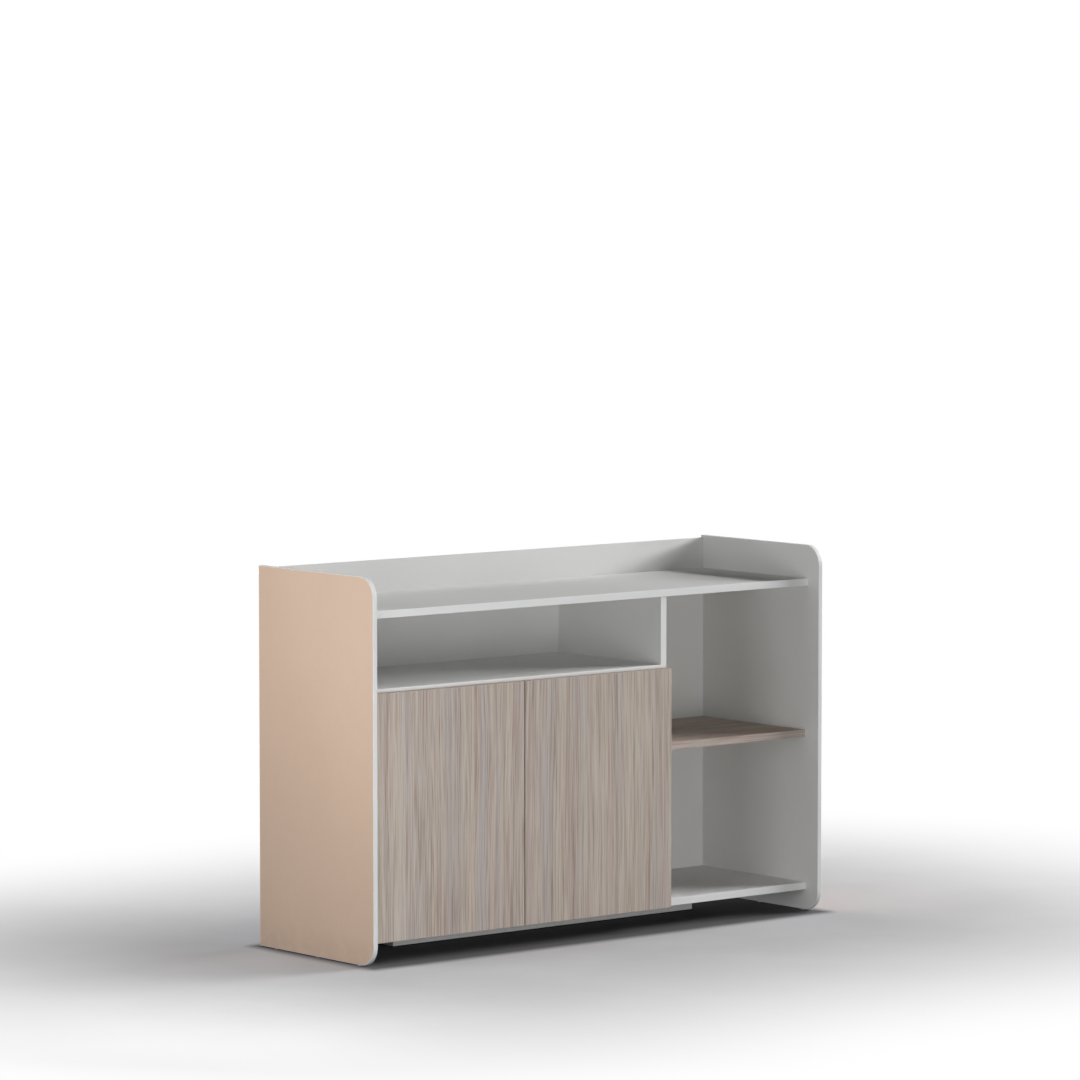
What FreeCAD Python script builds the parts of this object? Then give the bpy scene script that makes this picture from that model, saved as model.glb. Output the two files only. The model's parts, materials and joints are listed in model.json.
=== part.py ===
import FreeCAD, Part
import math
import os
import re
import Sketcher

# Office credenza: two thin end panels carry a worktop with a raised back, an open niche
# over a cupboard with two push-latch doors, and an open bay with one wooden shelf.
# Lengths are millimetres. Places are given from the left end, the front and the floor.
# The frame's origin is the middle of the footprint on the floor, +Z up, the front to -Y.

# ---------------------------------------------------------------- driving dimensions

SIZES = {
    # the whole piece of furniture
    "width": 1400,
    "depth": 440,
    "height": 908,
    # end panels: core board, coloured laminate outside, edging all round
    "end_thickness": 12,
    "laminate_thickness": 0.8,
    "edging_thickness": 1,
    "corner_radius": 48,
    "glide_height": 2,
    "glide_diameter": 9,
    "glide_inset": 60,
    "glide_pin_diameter": 3,
    "glide_pin_length": 10,
    # boards of the carcass
    "gallery_height": 82,
    "worktop_thickness": 18,
    "worktop_setback": 40,
    "board_thickness": 18,
    "carcass_setback": 45,
    "underside_height": 52,
    "niche_height": 643,
    "bay_width": 456,
    "back_thickness": 9,
    "back_drop": 6,
    # loose shelves and their pins
    "cupboard_shelf_height": 356,
    "cupboard_shelf_setback": 80,
    "bay_shelf_height": 450,
    "bay_shelf_setback": 48,
    "shelf_thickness": 18,
    "shelf_clearance": 0.5,
    "shelf_pin_diameter": 5,
    "shelf_pin_reach": 8,
    "shelf_pin_bite": 8,
    "shelf_pin_inset": 40,
    "seat_gap": 0.1,
    "edge_round": 0.8,
    # doors
    "door_thickness": 18,
    "door_back_gap": 2,
    "door_side_gap": 2.5,
    "door_middle_gap": 3,
    "door_top_drop": 8,
    # plinth frame with corner blocks and levelling feet
    "plinth_length": 940,
    "plinth_depth": 180,
    "plinth_setback": 222,
    "plinth_thickness": 18,
    "plinth_floor_gap": 3,
    "block_width": 30,
    "block_underside": 16,
    "foot_pad_diameter": 24,
    "foot_pad_height": 6,
    "foot_stud_diameter": 8,
    "foot_stud_length": 40,
    "foot_clearance": 0.05,
    # cam fittings and dowels
    "joint_inset": 60,
    "joint_pitch": 32,
    "cam_distance": 24,
    "cam_diameter": 15,
    "cam_over_bolt": 4.5,
    "cam_slot_width": 1.6,
    "cam_slot_depth": 1.5,
    "cam_slot_length": 9,
    "bolt_thread_diameter": 5,
    "bolt_thread_length": 8,
    "bolt_shank_diameter": 6,
    "bolt_head_diameter": 7,
    "bolt_head_length": 4,
    "bolt_hole_clearance": 0.2,
    "dowel_diameter": 8,
    "dowel_length": 28,
    "dowel_bite": 8,
    # screws
    "screw_diameter": 3.5,
    "screw_length": 30,
    "screw_head_diameter": 7,
    "screw_head_height": 2.5,
    "screw_hole_clearance": 0.1,
    "screw_margin": 60,
    "confirmat_diameter": 5,
    "confirmat_length": 50,
    "confirmat_head_diameter": 9,
    "confirmat_head_height": 3,
    "plinth_screw_diameter": 4,
    "plinth_screw_bite": 12,
    "plinth_screw_inset": 5,
    "plinth_screw_drop": 10,
    "plinth_screw_step": 14,
    # concealed hinges
    "hinge_end_distance": 90,
    "cup_diameter": 35,
    "cup_depth": 12.5,
    "cup_wall": 0.8,
    "cup_edge_distance": 4,
    "cup_rim": 1,
    "flange_thickness": 1,
    "flange_inner": 13,
    "flange_outer": 19,
    "flange_height": 60,
    "cup_screw_spacing": 48,
    "cup_screw_shift": 6,
    "cup_screw_length": 12,
    "small_head_height": 2,
    "lug_near": 8.5,
    "lug_far": 16,
    "lug_depth": 17,
    "lug_thickness": 2,
    "nose_inset": 34,
    "nose_depth": 10.5,
    "nose_half": 2.5,
    "nose_width": 9.4,
    "nose_shoulder": 28,
    "arm_knee": 46,
    "arm_end": 82,
    "arm_thickness": 3,
    "plate_height": 9,
    "plate_base": 2,
    "plate_front": 50,
    "plate_back": 86,
    "plate_base_height": 44,
    "plate_rib_height": 12,
    "plate_screw_spacing": 32,
    "plate_screw_length": 9,
    "plate_screw_depth": 68,
    "arm_screw_length": 8,
    "link_length": 23,
    "link_half": 1.5,
    "link_plate": 1.2,
    "link_gap": 0.5,
    "lug_gap": 0.4,
    "link_pin_diameter": 3,
    "link_pin_clearance": 0.05,
    # push latches
    "latch_offset": 45,
    "latch_setback": 3,
    "latch_length": 76,
    "latch_width": 16,
    "latch_height": 16,
    "latch_ear_width": 36,
    "latch_ear_length": 20,
    "latch_ear_start": 30,
    "latch_ear_height": 5,
    "latch_screw_offset": 13,
    "latch_screw_length": 14,
    "plunger_diameter": 8,
    "plunger_clearance": 0.05,
    "plunger_length": 55,
    "plunger_travel": 3,
    "plunger_tip_gap": 0.3,
    "plunger_end_room": 12,
    "spring_bore_diameter": 5.4,
    "spring_bore_depth": 30,
    "spring_wire": 0.8,
    "spring_mean_diameter": 4,
    "spring_pitch": 2.2,
    "strike_thickness": 1,
    "strike_width": 16,
    "strike_height": 20,
}

document = FreeCAD.newDocument("OfficeCredenza")
sheet = document.addObject("Spreadsheet::Sheet", "Sizes")
for row, (alias, size) in enumerate(SIZES.items(), start=1):
    sheet.set(f"A{row}", alias)
    sheet.set(f"B{row}", str(size))
    sheet.setAlias(f"B{row}", alias)
document.recompute()


def bound(text):
    """The expression that other objects use, with each size's name pointing at the sheet."""
    return re.sub(r"[a-z_]+", lambda word: f"Sizes.{word[0]}" if word[0] in SIZES else word[0], text)


def number(text):
    """The present value of an expression in the sizes' names."""
    return float(sheet.evalExpression(text))


# ---------------------------------------------------------------- places that pieces share

END_INNER_LEFT = "end_thickness"
END_INNER_RIGHT = "(width - end_thickness)"
PARTITION_RIGHT = f"({END_INNER_RIGHT} - bay_width)"
PARTITION_LEFT = f"({PARTITION_RIGHT} - board_thickness)"
PARTITION_MIDDLE = f"({PARTITION_RIGHT} - board_thickness / 2)"
BACK_FRONT = "(depth - back_thickness)"
WORKTOP_UNDERSIDE = "(height - gallery_height - worktop_thickness)"
WORKTOP_MIDDLE = "(height - gallery_height - worktop_thickness / 2)"
BOTTOM_TOP = "(underside_height + board_thickness)"
BOTTOM_MIDDLE = "(underside_height + board_thickness / 2)"
NICHE_UNDERSIDE = "(niche_height - board_thickness)"
NICHE_MIDDLE = "(niche_height - board_thickness / 2)"

DOOR_FRONT = "(carcass_setback - door_back_gap - door_thickness)"
DOOR_BACK = "(carcass_setback - door_back_gap)"
DOOR_TOP = "(niche_height - door_top_drop)"
DOOR_LEFT_EDGE = "(end_thickness + door_side_gap)"
DOOR_RIGHT_EDGE = PARTITION_RIGHT
DOOR_WIDTH = f"(({DOOR_RIGHT_EDGE} - {DOOR_LEFT_EDGE} - door_middle_gap) / 2)"
DOOR_HEIGHT = f"({DOOR_TOP} - underside_height)"
HINGE_HEIGHTS = ["(underside_height + hinge_end_distance)", f"({DOOR_TOP} - hinge_end_distance)"]

JOINT_FRONT = "(carcass_setback + joint_inset)"
JOINT_BACK = f"({BACK_FRONT} - joint_inset)"
JOINT_MIDDLE = f"(({JOINT_FRONT} + {JOINT_BACK}) / 2)"
CAM_ROWS = [JOINT_FRONT, JOINT_BACK]
DOWEL_ROWS = [f"({JOINT_FRONT} + joint_pitch)", f"({JOINT_BACK} - joint_pitch)"]
BOLT_HOLE_DEPTH = "(cam_distance + bolt_head_length / 2 + bolt_hole_clearance)"
BOLT_HOLE_DIAMETER = "(bolt_head_diameter + 2 * bolt_hole_clearance)"

PLINTH_LEFT = "((width - plinth_length) / 2)"
PLINTH_RIGHT = "((width + plinth_length) / 2)"
PLINTH_BACK = "(plinth_setback + plinth_depth)"
PLINTH_HEIGHT = "(underside_height - plinth_floor_gap)"


# ---------------------------------------------------------------- modelling helpers

SUB_PARTS = []


def sub_part(item, label):
    """Names a finished piece, so that it is written to a file of its own."""
    item.Label = label
    SUB_PARTS.append(item)
    return item


def place(item, left, front, floor):
    """Puts an object at a place measured from the left end, the front and the floor."""
    item.setExpression("Placement.Base.x", bound(f"({left}) - width / 2"))
    item.setExpression("Placement.Base.y", bound(f"({front}) - depth / 2"))
    item.setExpression("Placement.Base.z", bound(floor))
    return item


def origin_plane(body, role):
    return next(feature for feature in body.Origin.OriginFeatures if feature.Role == role)


def sketch_on(body, name, role, offset="0"):
    """An empty sketch on one of the body's own origin planes, moved along its normal."""
    sketch = body.newObject("Sketcher::SketchObject", name)
    sketch.AttachmentSupport = [(origin_plane(body, role), "")]
    sketch.MapMode = "FlatFace"
    sketch.setExpression("AttachmentOffset.Base.z", bound(offset))
    return sketch


def fix(sketch, kind, references, text):
    """Adds one dimension to a sketch and ties it to the sheet."""
    index = sketch.addConstraint(Sketcher.Constraint(kind, *references, number(text)))
    sketch.setExpression(f"Constraints[{index}]", bound(text))


def fix_point(sketch, geometry, point, across, up):
    """Ties a point of a sketch to its two coordinates."""
    fix(sketch, "DistanceX", (-1, 1, geometry, point), across)
    fix(sketch, "DistanceY", (-1, 1, geometry, point), up)


def add_polygon(sketch, corners):
    """A closed outline through corners, each a pair of expressions."""
    points = [FreeCAD.Vector(number(across), number(up), 0) for across, up in corners]
    first = sketch.GeometryCount
    count = len(points)
    for index in range(count):
        sketch.addGeometry(Part.LineSegment(points[index], points[(index + 1) % count]))
    for index in range(count):
        following = first + (index + 1) % count
        sketch.addConstraint(Sketcher.Constraint("Coincident", first + index, 2, following, 1))
    for index, (across, up) in enumerate(corners):
        fix_point(sketch, first + index, 1, across, up)


def add_rectangle(sketch, length, height):
    add_polygon(sketch, [("0", "0"), (length, "0"), (length, height), ("0", height)])


def add_circles(sketch, centres, diameter):
    for across, up in centres:
        centre = FreeCAD.Vector(number(across), number(up), 0)
        circle = Part.Circle(centre, FreeCAD.Vector(0, 0, 1), number(diameter) / 2)
        index = sketch.addGeometry(circle)
        fix(sketch, "Diameter", (index,), diameter)
        fix_point(sketch, index, 3, across, up)


def add_panel_outline(sketch, inset):
    """A panel's outline with its two front corners rounded, a distance inside the full panel."""
    near = number(inset)
    far = number(f"depth - ({inset})")
    low = number(inset)
    high = number(f"height - glide_height - ({inset})")
    radius = number(f"corner_radius - ({inset})")
    quarter_turn = math.pi / 2
    up = FreeCAD.Vector(0, 0, 1)
    top_centre = FreeCAD.Vector(near + radius, high - radius, 0)
    low_centre = FreeCAD.Vector(near + radius, low + radius, 0)
    base = Part.LineSegment(FreeCAD.Vector(near + radius, low, 0), FreeCAD.Vector(far, low, 0))
    rear = Part.LineSegment(FreeCAD.Vector(far, low, 0), FreeCAD.Vector(far, high, 0))
    top = Part.LineSegment(FreeCAD.Vector(far, high, 0), FreeCAD.Vector(near + radius, high, 0))
    top_arc = Part.ArcOfCircle(Part.Circle(top_centre, up, radius), quarter_turn, 2 * quarter_turn)
    front = Part.LineSegment(
        FreeCAD.Vector(near, high - radius, 0), FreeCAD.Vector(near, low + radius, 0)
    )
    low_arc = Part.ArcOfCircle(Part.Circle(low_centre, up, radius), 2 * quarter_turn, 3 * quarter_turn)
    pieces = [sketch.addGeometry(curve) for curve in (base, rear, top, top_arc, front, low_arc)]
    base, rear, top, top_arc, front, low_arc = pieces
    for kind, first, second in (
        ("Coincident", (base, 2), (rear, 1)),
        ("Coincident", (rear, 2), (top, 1)),
        ("Tangent", (top, 2), (top_arc, 1)),
        ("Tangent", (top_arc, 2), (front, 1)),
        ("Tangent", (front, 2), (low_arc, 1)),
        ("Tangent", (low_arc, 2), (base, 1)),
    ):
        sketch.addConstraint(Sketcher.Constraint(kind, *first, *second))
    sketch.addConstraint(Sketcher.Constraint("Horizontal", base))
    sketch.addConstraint(Sketcher.Constraint("Horizontal", top))
    sketch.addConstraint(Sketcher.Constraint("Vertical", front))
    fix(sketch, "Radius", (top_arc,), f"corner_radius - ({inset})")
    sketch.addConstraint(Sketcher.Constraint("Equal", top_arc, low_arc))
    fix_point(sketch, rear, 1, f"depth - ({inset})", inset)
    fix_point(sketch, rear, 2, f"depth - ({inset})", f"height - glide_height - ({inset})")
    fix(sketch, "DistanceX", (-1, 1, front, 1), inset)


def pad(body, sketch, length):
    feature = body.newObject("PartDesign::Pad", f"{sketch.Name}Pad")
    feature.Profile = sketch
    feature.setExpression("Length", bound(length))
    body.Tip = feature
    return feature


def pocket(body, sketch, length, reverse):
    feature = body.newObject("PartDesign::Pocket", f"{sketch.Name}Pocket")
    feature.Profile = sketch
    feature.setExpression("Length", bound(length))
    feature.Reversed = reverse
    body.Tip = feature
    return feature


TOLERANCE = 0.001
CORNERS = {}
EXTENTS = {}


def board(label, corner, extent):
    """A plain board: its low corner, and its size along X, Y and Z."""
    body = document.addObject("PartDesign::Body", label)
    outline = sketch_on(body, f"{label}_outline", "XY_Plane")
    add_rectangle(outline, extent[0], extent[1])
    pad(body, outline, extent[2])
    place(body, *corner)
    CORNERS[label] = corner
    EXTENTS[label] = extent
    return sub_part(body, label)


# For each face of a board: the origin plane, the extent that the plane moves along with its
# sign, the two axes that a hole's centre is given in, and whether the cut is reversed.
FACES = {
    "bottom": ("XY_Plane", None, 1, (0, 1), True),
    "top": ("XY_Plane", 2, 1, (0, 1), False),
    "left": ("YZ_Plane", None, 1, (1, 2), True),
    "right": ("YZ_Plane", 0, 1, (1, 2), False),
    "front": ("XZ_Plane", None, 1, (0, 2), False),
    "back": ("XZ_Plane", 1, -1, (0, 2), True),
}


def drill(body, face, centres, diameter, depth):
    """Round holes in one face of a board. Centres are measured from left, front and floor."""
    role, moved, sign, axes, reverse = FACES[face]
    corner = CORNERS[body.Name]
    extent = EXTENTS[body.Name]
    offset = "0" if moved is None else f"{sign} * ({extent[moved]})"
    count = sum(1 for item in body.Group if item.isDerivedFrom("PartDesign::Pocket"))
    holes = sketch_on(body, f"{body.Name}_holes{count + 1}", role, offset)
    local = [tuple(f"({where}) - ({corner[axis]})" for where, axis in zip(pair, axes)) for pair in centres]
    add_circles(holes, local, diameter)
    document.recompute()
    before = body.Shape.Volume
    pocket(body, holes, depth, reverse)
    document.recompute()
    if body.Shape.Volume >= before:
        raise ValueError(f"{body.Name}: holes in the {face} cut nothing")


def ease(body, wanted):
    """Rounds the edges of a body's first solid that a test picks out."""
    document.recompute()
    solid = body.Tip
    names = [f"Edge{place}" for place, edge in enumerate(solid.Shape.Edges, start=1) if wanted(edge)]
    rounding = body.newObject("PartDesign::Fillet", f"{body.Name}_eased")
    rounding.Base = (solid, names)
    rounding.setExpression("Radius", bound("edge_round"))
    body.Tip = rounding


def lies_at(edge, axis, value):
    """True where both ends of an edge have the same given coordinate."""
    return all(abs(vertex.Point[axis] - value) < TOLERANCE for vertex in edge.Vertexes)


def is_long(edge):
    """True for an arris that runs along a board, false for one across its thickness."""
    return edge.Length > 2 * number("board_thickness")


def is_front_arris(edge):
    return is_long(edge) and lies_at(edge, 1, 0)


def is_bottom_arris(edge):
    return is_long(edge) and lies_at(edge, 2, 0)


def is_any_arris(edge):
    return edge.Length > 0


def block(name, corner, extent):
    """A rectangular block: its low corner, and its size along X, Y and Z."""
    item = document.addObject("Part::Box", name)
    item.setExpression("Length", bound(extent[0]))
    item.setExpression("Width", bound(extent[1]))
    item.setExpression("Height", bound(extent[2]))
    return place(item, *corner)


TURN_TO = {
    "X": FreeCAD.Rotation(FreeCAD.Vector(0, 1, 0), 90),
    "-X": FreeCAD.Rotation(FreeCAD.Vector(0, 1, 0), -90),
    "Y": FreeCAD.Rotation(FreeCAD.Vector(1, 0, 0), -90),
    "-Y": FreeCAD.Rotation(FreeCAD.Vector(1, 0, 0), 90),
    "Z": FreeCAD.Rotation(),
}


def rod(name, direction, start, diameter, length):
    """A round bar that starts at a point and runs along an axis."""
    item = document.addObject("Part::Cylinder", name)
    item.setExpression("Radius", bound(f"({diameter}) / 2"))
    item.setExpression("Height", bound(length))
    item.Placement = FreeCAD.Placement(FreeCAD.Vector(), TURN_TO[direction])
    return place(item, *start)


def joined(name, items):
    item = document.addObject("Part::MultiFuse", name)
    item.Shapes = items
    item.Refine = True
    return item


def without(name, base, tools):
    """The base with the tools cut away."""
    item = document.addObject("Part::Cut", name)
    item.Base = base
    item.Tool = tools[0] if len(tools) == 1 else joined(f"{name}_tools", tools)
    item.Refine = True
    return item


def group(label, items):
    """Identical pieces that share one name, each still a solid of its own."""
    item = document.addObject("Part::Compound", label)
    item.Links = items
    return sub_part(item, label)


def shifted(place_text, distance, sign):
    """A place moved by a distance, to the right for +1 and to the left for -1."""
    return f"({place_text} {'+' if sign > 0 else '-'} ({distance}))"


# ---------------------------------------------------------------- end panels

GLIDE_ROWS = ["glide_inset", "(depth / 2)", "(depth - glide_inset)"]


def is_outer_arris(edge):
    """True for the edging's outside arrises, which reach the panel's outermost lines."""
    thickness = number("end_thickness")
    on_a_face = lies_at(edge, 0, 0) or lies_at(edge, 0, thickness)
    limits = ((1, 0), (1, number("depth")), (2, 0), (2, number("height - glide_height")))
    return on_a_face and any(
        abs(vertex.Point[axis] - limit) < TOLERANCE for vertex in edge.Vertexes for axis, limit in limits
    )


def end_panel(side):
    """Core, outer laminate and edging of one end, standing on glides."""
    is_left = side == "left"
    outer = "0" if is_left else "width"
    core_left = "laminate_thickness" if is_left else END_INNER_RIGHT
    laminate_left = "0" if is_left else "(width - laminate_thickness)"
    edging_left = "0" if is_left else END_INNER_RIGHT
    layers = (
        (f"{side}_end_panel", core_left, "end_thickness - laminate_thickness", ["edging_thickness"]),
        (f"{side}_end_laminate", laminate_left, "laminate_thickness", ["edging_thickness"]),
        (f"{side}_end_edging", edging_left, "end_thickness", ["0", "edging_thickness"]),
    )
    bodies = []
    for label, left, thickness, insets in layers:
        body = document.addObject("PartDesign::Body", label)
        outline = sketch_on(body, f"{label}_outline", "YZ_Plane")
        for inset in insets:
            add_panel_outline(outline, inset)
        pad(body, outline, thickness)
        place(body, left, "0", "glide_height")
        if len(insets) > 1:
            ease(body, is_outer_arris)
        CORNERS[label] = (left, "0", "glide_height")
        EXTENTS[label] = (thickness, "depth", "height - glide_height")
        bodies.append(sub_part(body, label))
    core, laminate, edging = bodies
    middle = shifted(outer, "end_thickness / 2", 1 if is_left else -1)
    centres = [(middle, row) for row in GLIDE_ROWS]
    drill(edging, "bottom", centres, "glide_pin_diameter", "edging_thickness")
    drill(core, "bottom", centres, "glide_pin_diameter", "glide_pin_length")
    return core


def end_glides():
    """Nail-on glides under both end panels."""
    glides = []
    for side, middle in (("Left", "end_thickness / 2"), ("Right", "width - end_thickness / 2")):
        for index, row in enumerate(GLIDE_ROWS, start=1):
            name = f"Glide{side}{index}"
            disc = rod(f"{name}Disc", "Z", (middle, row, "0"), "glide_diameter", "glide_height")
            start = (middle, row, "glide_height")
            pin = rod(f"{name}Pin", "Z", start, "glide_pin_diameter", "glide_pin_length")
            glides.append(joined(name, [disc, pin]))
    return group("end_panel_glides", glides)


left_end = end_panel("left")
right_end = end_panel("right")
end_glides()

# ---------------------------------------------------------------- carcass boards

worktop = board(
    "worktop",
    (END_INNER_LEFT, "worktop_setback", WORKTOP_UNDERSIDE),
    ("width - 2 * end_thickness", f"{BACK_FRONT} - worktop_setback", "worktop_thickness"),
)
bottom_board = board(
    "bottom_board",
    (END_INNER_LEFT, "carcass_setback", "underside_height"),
    ("width - 2 * end_thickness", f"{BACK_FRONT} - carcass_setback", "board_thickness"),
)
partition = board(
    "partition",
    (PARTITION_LEFT, "carcass_setback", BOTTOM_TOP),
    ("board_thickness", f"{BACK_FRONT} - carcass_setback", f"{WORKTOP_UNDERSIDE} - {BOTTOM_TOP}"),
)
niche_shelf = board(
    "niche_shelf",
    (END_INNER_LEFT, "carcass_setback", NICHE_UNDERSIDE),
    (f"{PARTITION_LEFT} - end_thickness", f"{BACK_FRONT} - carcass_setback", "board_thickness"),
)
back_panel = board(
    "back_panel",
    (END_INNER_LEFT, BACK_FRONT, "underside_height"),
    ("width - 2 * end_thickness", "back_thickness", "height - back_drop - underside_height"),
)


def is_gallery_arris(edge):
    return is_long(edge) and lies_at(edge, 2, number("height - back_drop - underside_height"))


for plain_board in (worktop, bottom_board, partition, niche_shelf):
    ease(plain_board, is_front_arris)
ease(back_panel, is_gallery_arris)


# ---------------------------------------------------------------- cam joints and dowels

# Each joint: the board that holds the cams, its face at the joint, the piece that takes the
# bolts, that piece's face, where the joint plane is, the boards' underside and middle heights,
# and the direction from the joint plane into the board.
CAM_JOINTS = (
    (worktop, "left", left_end, "right", END_INNER_LEFT, WORKTOP_UNDERSIDE, WORKTOP_MIDDLE, 1),
    (worktop, "right", right_end, "left", END_INNER_RIGHT, WORKTOP_UNDERSIDE, WORKTOP_MIDDLE, -1),
    (niche_shelf, "left", left_end, "right", END_INNER_LEFT, NICHE_UNDERSIDE, NICHE_MIDDLE, 1),
    (niche_shelf, "right", partition, "left", PARTITION_LEFT, NICHE_UNDERSIDE, NICHE_MIDDLE, -1),
    (bottom_board, "left", left_end, "right", END_INNER_LEFT, "underside_height", BOTTOM_MIDDLE, 1),
    (bottom_board, "right", right_end, "left", END_INNER_RIGHT, "underside_height", BOTTOM_MIDDLE, -1),
)


def cam_lock(name, centre, row, underside, middle, sign):
    """A cam: a round housing with a bore for the bolt's head and a driver slot below."""
    height = f"{middle} - {underside} + cam_over_bolt"
    housing = rod(f"{name}Housing", "Z", (centre, row, underside), "cam_diameter", height)
    mouth = shifted(centre, "cam_diameter", -sign)
    reach = "cam_diameter + bolt_head_length / 2 + bolt_hole_clearance"
    bore = rod(f"{name}Bore", "X" if sign > 0 else "-X", (mouth, row, middle), BOLT_HOLE_DIAMETER, reach)
    slot = block(
        f"{name}Slot",
        (f"{centre} - cam_slot_length / 2", f"{row} - cam_slot_width / 2", underside),
        ("cam_slot_length", "cam_slot_width", "cam_slot_depth"),
    )
    return without(name, housing, [bore, slot])


def cam_bolt(name, plane, row, middle, sign):
    """A bolt: thread in the upright, shank in the board, head inside the cam."""
    out = "X" if sign > 0 else "-X"
    start = shifted(plane, "bolt_thread_length", -sign)
    thread = rod(f"{name}Thread", out, (start, row, middle), "bolt_thread_diameter", "bolt_thread_length")
    shank_length = "cam_distance - bolt_head_length / 2"
    shank = rod(f"{name}Shank", out, (plane, row, middle), "bolt_shank_diameter", shank_length)
    head_start = shifted(plane, shank_length, sign)
    head = rod(f"{name}Head", out, (head_start, row, middle), "bolt_head_diameter", "bolt_head_length")
    return joined(name, [thread, shank, head])


def dowel_across(name, plane, row, middle, sign):
    start = shifted(plane, "dowel_bite", -sign)
    out = "X" if sign > 0 else "-X"
    return rod(name, out, (start, row, middle), "dowel_diameter", "dowel_length")


def cam_joints():
    """Cams, bolts and dowels at each end of the horizontal boards, with all their holes."""
    cams = []
    bolts = []
    dowels = []
    upright_holes = {}
    for place_in_list, joint in enumerate(CAM_JOINTS, start=1):
        held, face, upright, upright_face, plane, underside, middle, sign = joint
        centre = shifted(plane, "cam_distance", sign)
        cam_depth = f"{middle} - {underside} + cam_over_bolt"
        drill(held, "bottom", [(centre, row) for row in CAM_ROWS], "cam_diameter", cam_depth)
        drill(held, face, [(row, middle) for row in CAM_ROWS], BOLT_HOLE_DIAMETER, BOLT_HOLE_DEPTH)
        depth = "dowel_length - dowel_bite"
        drill(held, face, [(row, middle) for row in DOWEL_ROWS], "dowel_diameter", depth)
        bolt_holes, dowel_holes = upright_holes.setdefault((upright.Name, upright_face), ([], []))
        bolt_holes.extend((row, middle) for row in CAM_ROWS)
        dowel_holes.extend((row, middle) for row in DOWEL_ROWS)
        for index, row in enumerate(CAM_ROWS, start=1):
            name = f"{place_in_list}_{index}"
            cams.append(cam_lock(f"Cam{name}", centre, row, underside, middle, sign))
            bolts.append(cam_bolt(f"CamBolt{name}", plane, row, middle, sign))
        for index, row in enumerate(DOWEL_ROWS, start=1):
            dowels.append(dowel_across(f"Dowel{place_in_list}_{index}", plane, row, middle, sign))
    for (name, face), (bolt_holes, dowel_holes) in upright_holes.items():
        upright = document.getObject(name)
        drill(upright, face, bolt_holes, "bolt_thread_diameter", "bolt_thread_length")
        drill(upright, face, dowel_holes, "dowel_diameter", "dowel_bite")
    group("cam_locks", cams)
    group("cam_bolts", bolts)
    return dowels


def partition_dowels():
    """Upright dowels between the partition and the boards above and below it."""
    rows = [JOINT_FRONT, JOINT_MIDDLE, JOINT_BACK]
    centres = [(PARTITION_MIDDLE, row) for row in rows]
    long_end = "dowel_length - dowel_bite"
    drill(worktop, "bottom", centres, "dowel_diameter", "dowel_bite")
    drill(bottom_board, "top", centres, "dowel_diameter", "dowel_bite")
    drill(partition, "top", centres, "dowel_diameter", long_end)
    drill(partition, "bottom", centres, "dowel_diameter", long_end)
    dowels = []
    for index, row in enumerate(rows, start=1):
        low = (PARTITION_MIDDLE, row, f"{BOTTOM_TOP} - dowel_bite")
        high = (PARTITION_MIDDLE, row, f"{WORKTOP_UNDERSIDE} + dowel_bite - dowel_length")
        dowels.append(rod(f"DowelLow{index}", "Z", low, "dowel_diameter", "dowel_length"))
        dowels.append(rod(f"DowelHigh{index}", "Z", high, "dowel_diameter", "dowel_length"))
    return dowels


def partition_screws():
    """Two long screws from below that pull the bottom board up to the partition."""
    rows = [f"(({JOINT_FRONT} + {JOINT_MIDDLE}) / 2)", f"(({JOINT_MIDDLE} + {JOINT_BACK}) / 2)"]
    centres = [(PARTITION_MIDDLE, row) for row in rows]
    bite = "confirmat_length - board_thickness"
    drill(bottom_board, "bottom", centres, "confirmat_head_diameter", "confirmat_head_height")
    drill(bottom_board, "bottom", centres, "confirmat_diameter", "board_thickness")
    drill(partition, "bottom", centres, "confirmat_diameter", bite)
    screws = []
    for index, row in enumerate(rows, start=1):
        start = (PARTITION_MIDDLE, row, "underside_height")
        name = f"PartitionScrew{index}"
        head = rod(f"{name}Head", "Z", start, "confirmat_head_diameter", "confirmat_head_height")
        shank = rod(f"{name}Shank", "Z", start, "confirmat_diameter", "confirmat_length")
        screws.append(joined(name, [head, shank]))
    return group("partition_screws", screws)


group("dowels", cam_joints() + partition_dowels())
partition_screws()


# ---------------------------------------------------------------- back panel screws

# How many screws each row through the back has.
LONG_ROW = 5
SHELF_ROW = 3
UPRIGHT_ROW = 2


def spread(first, last, count):
    """Evenly spaced places from first to last."""
    return [f"({first} + ({last} - {first}) * {index} / {count - 1})" for index in range(count)]


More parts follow.
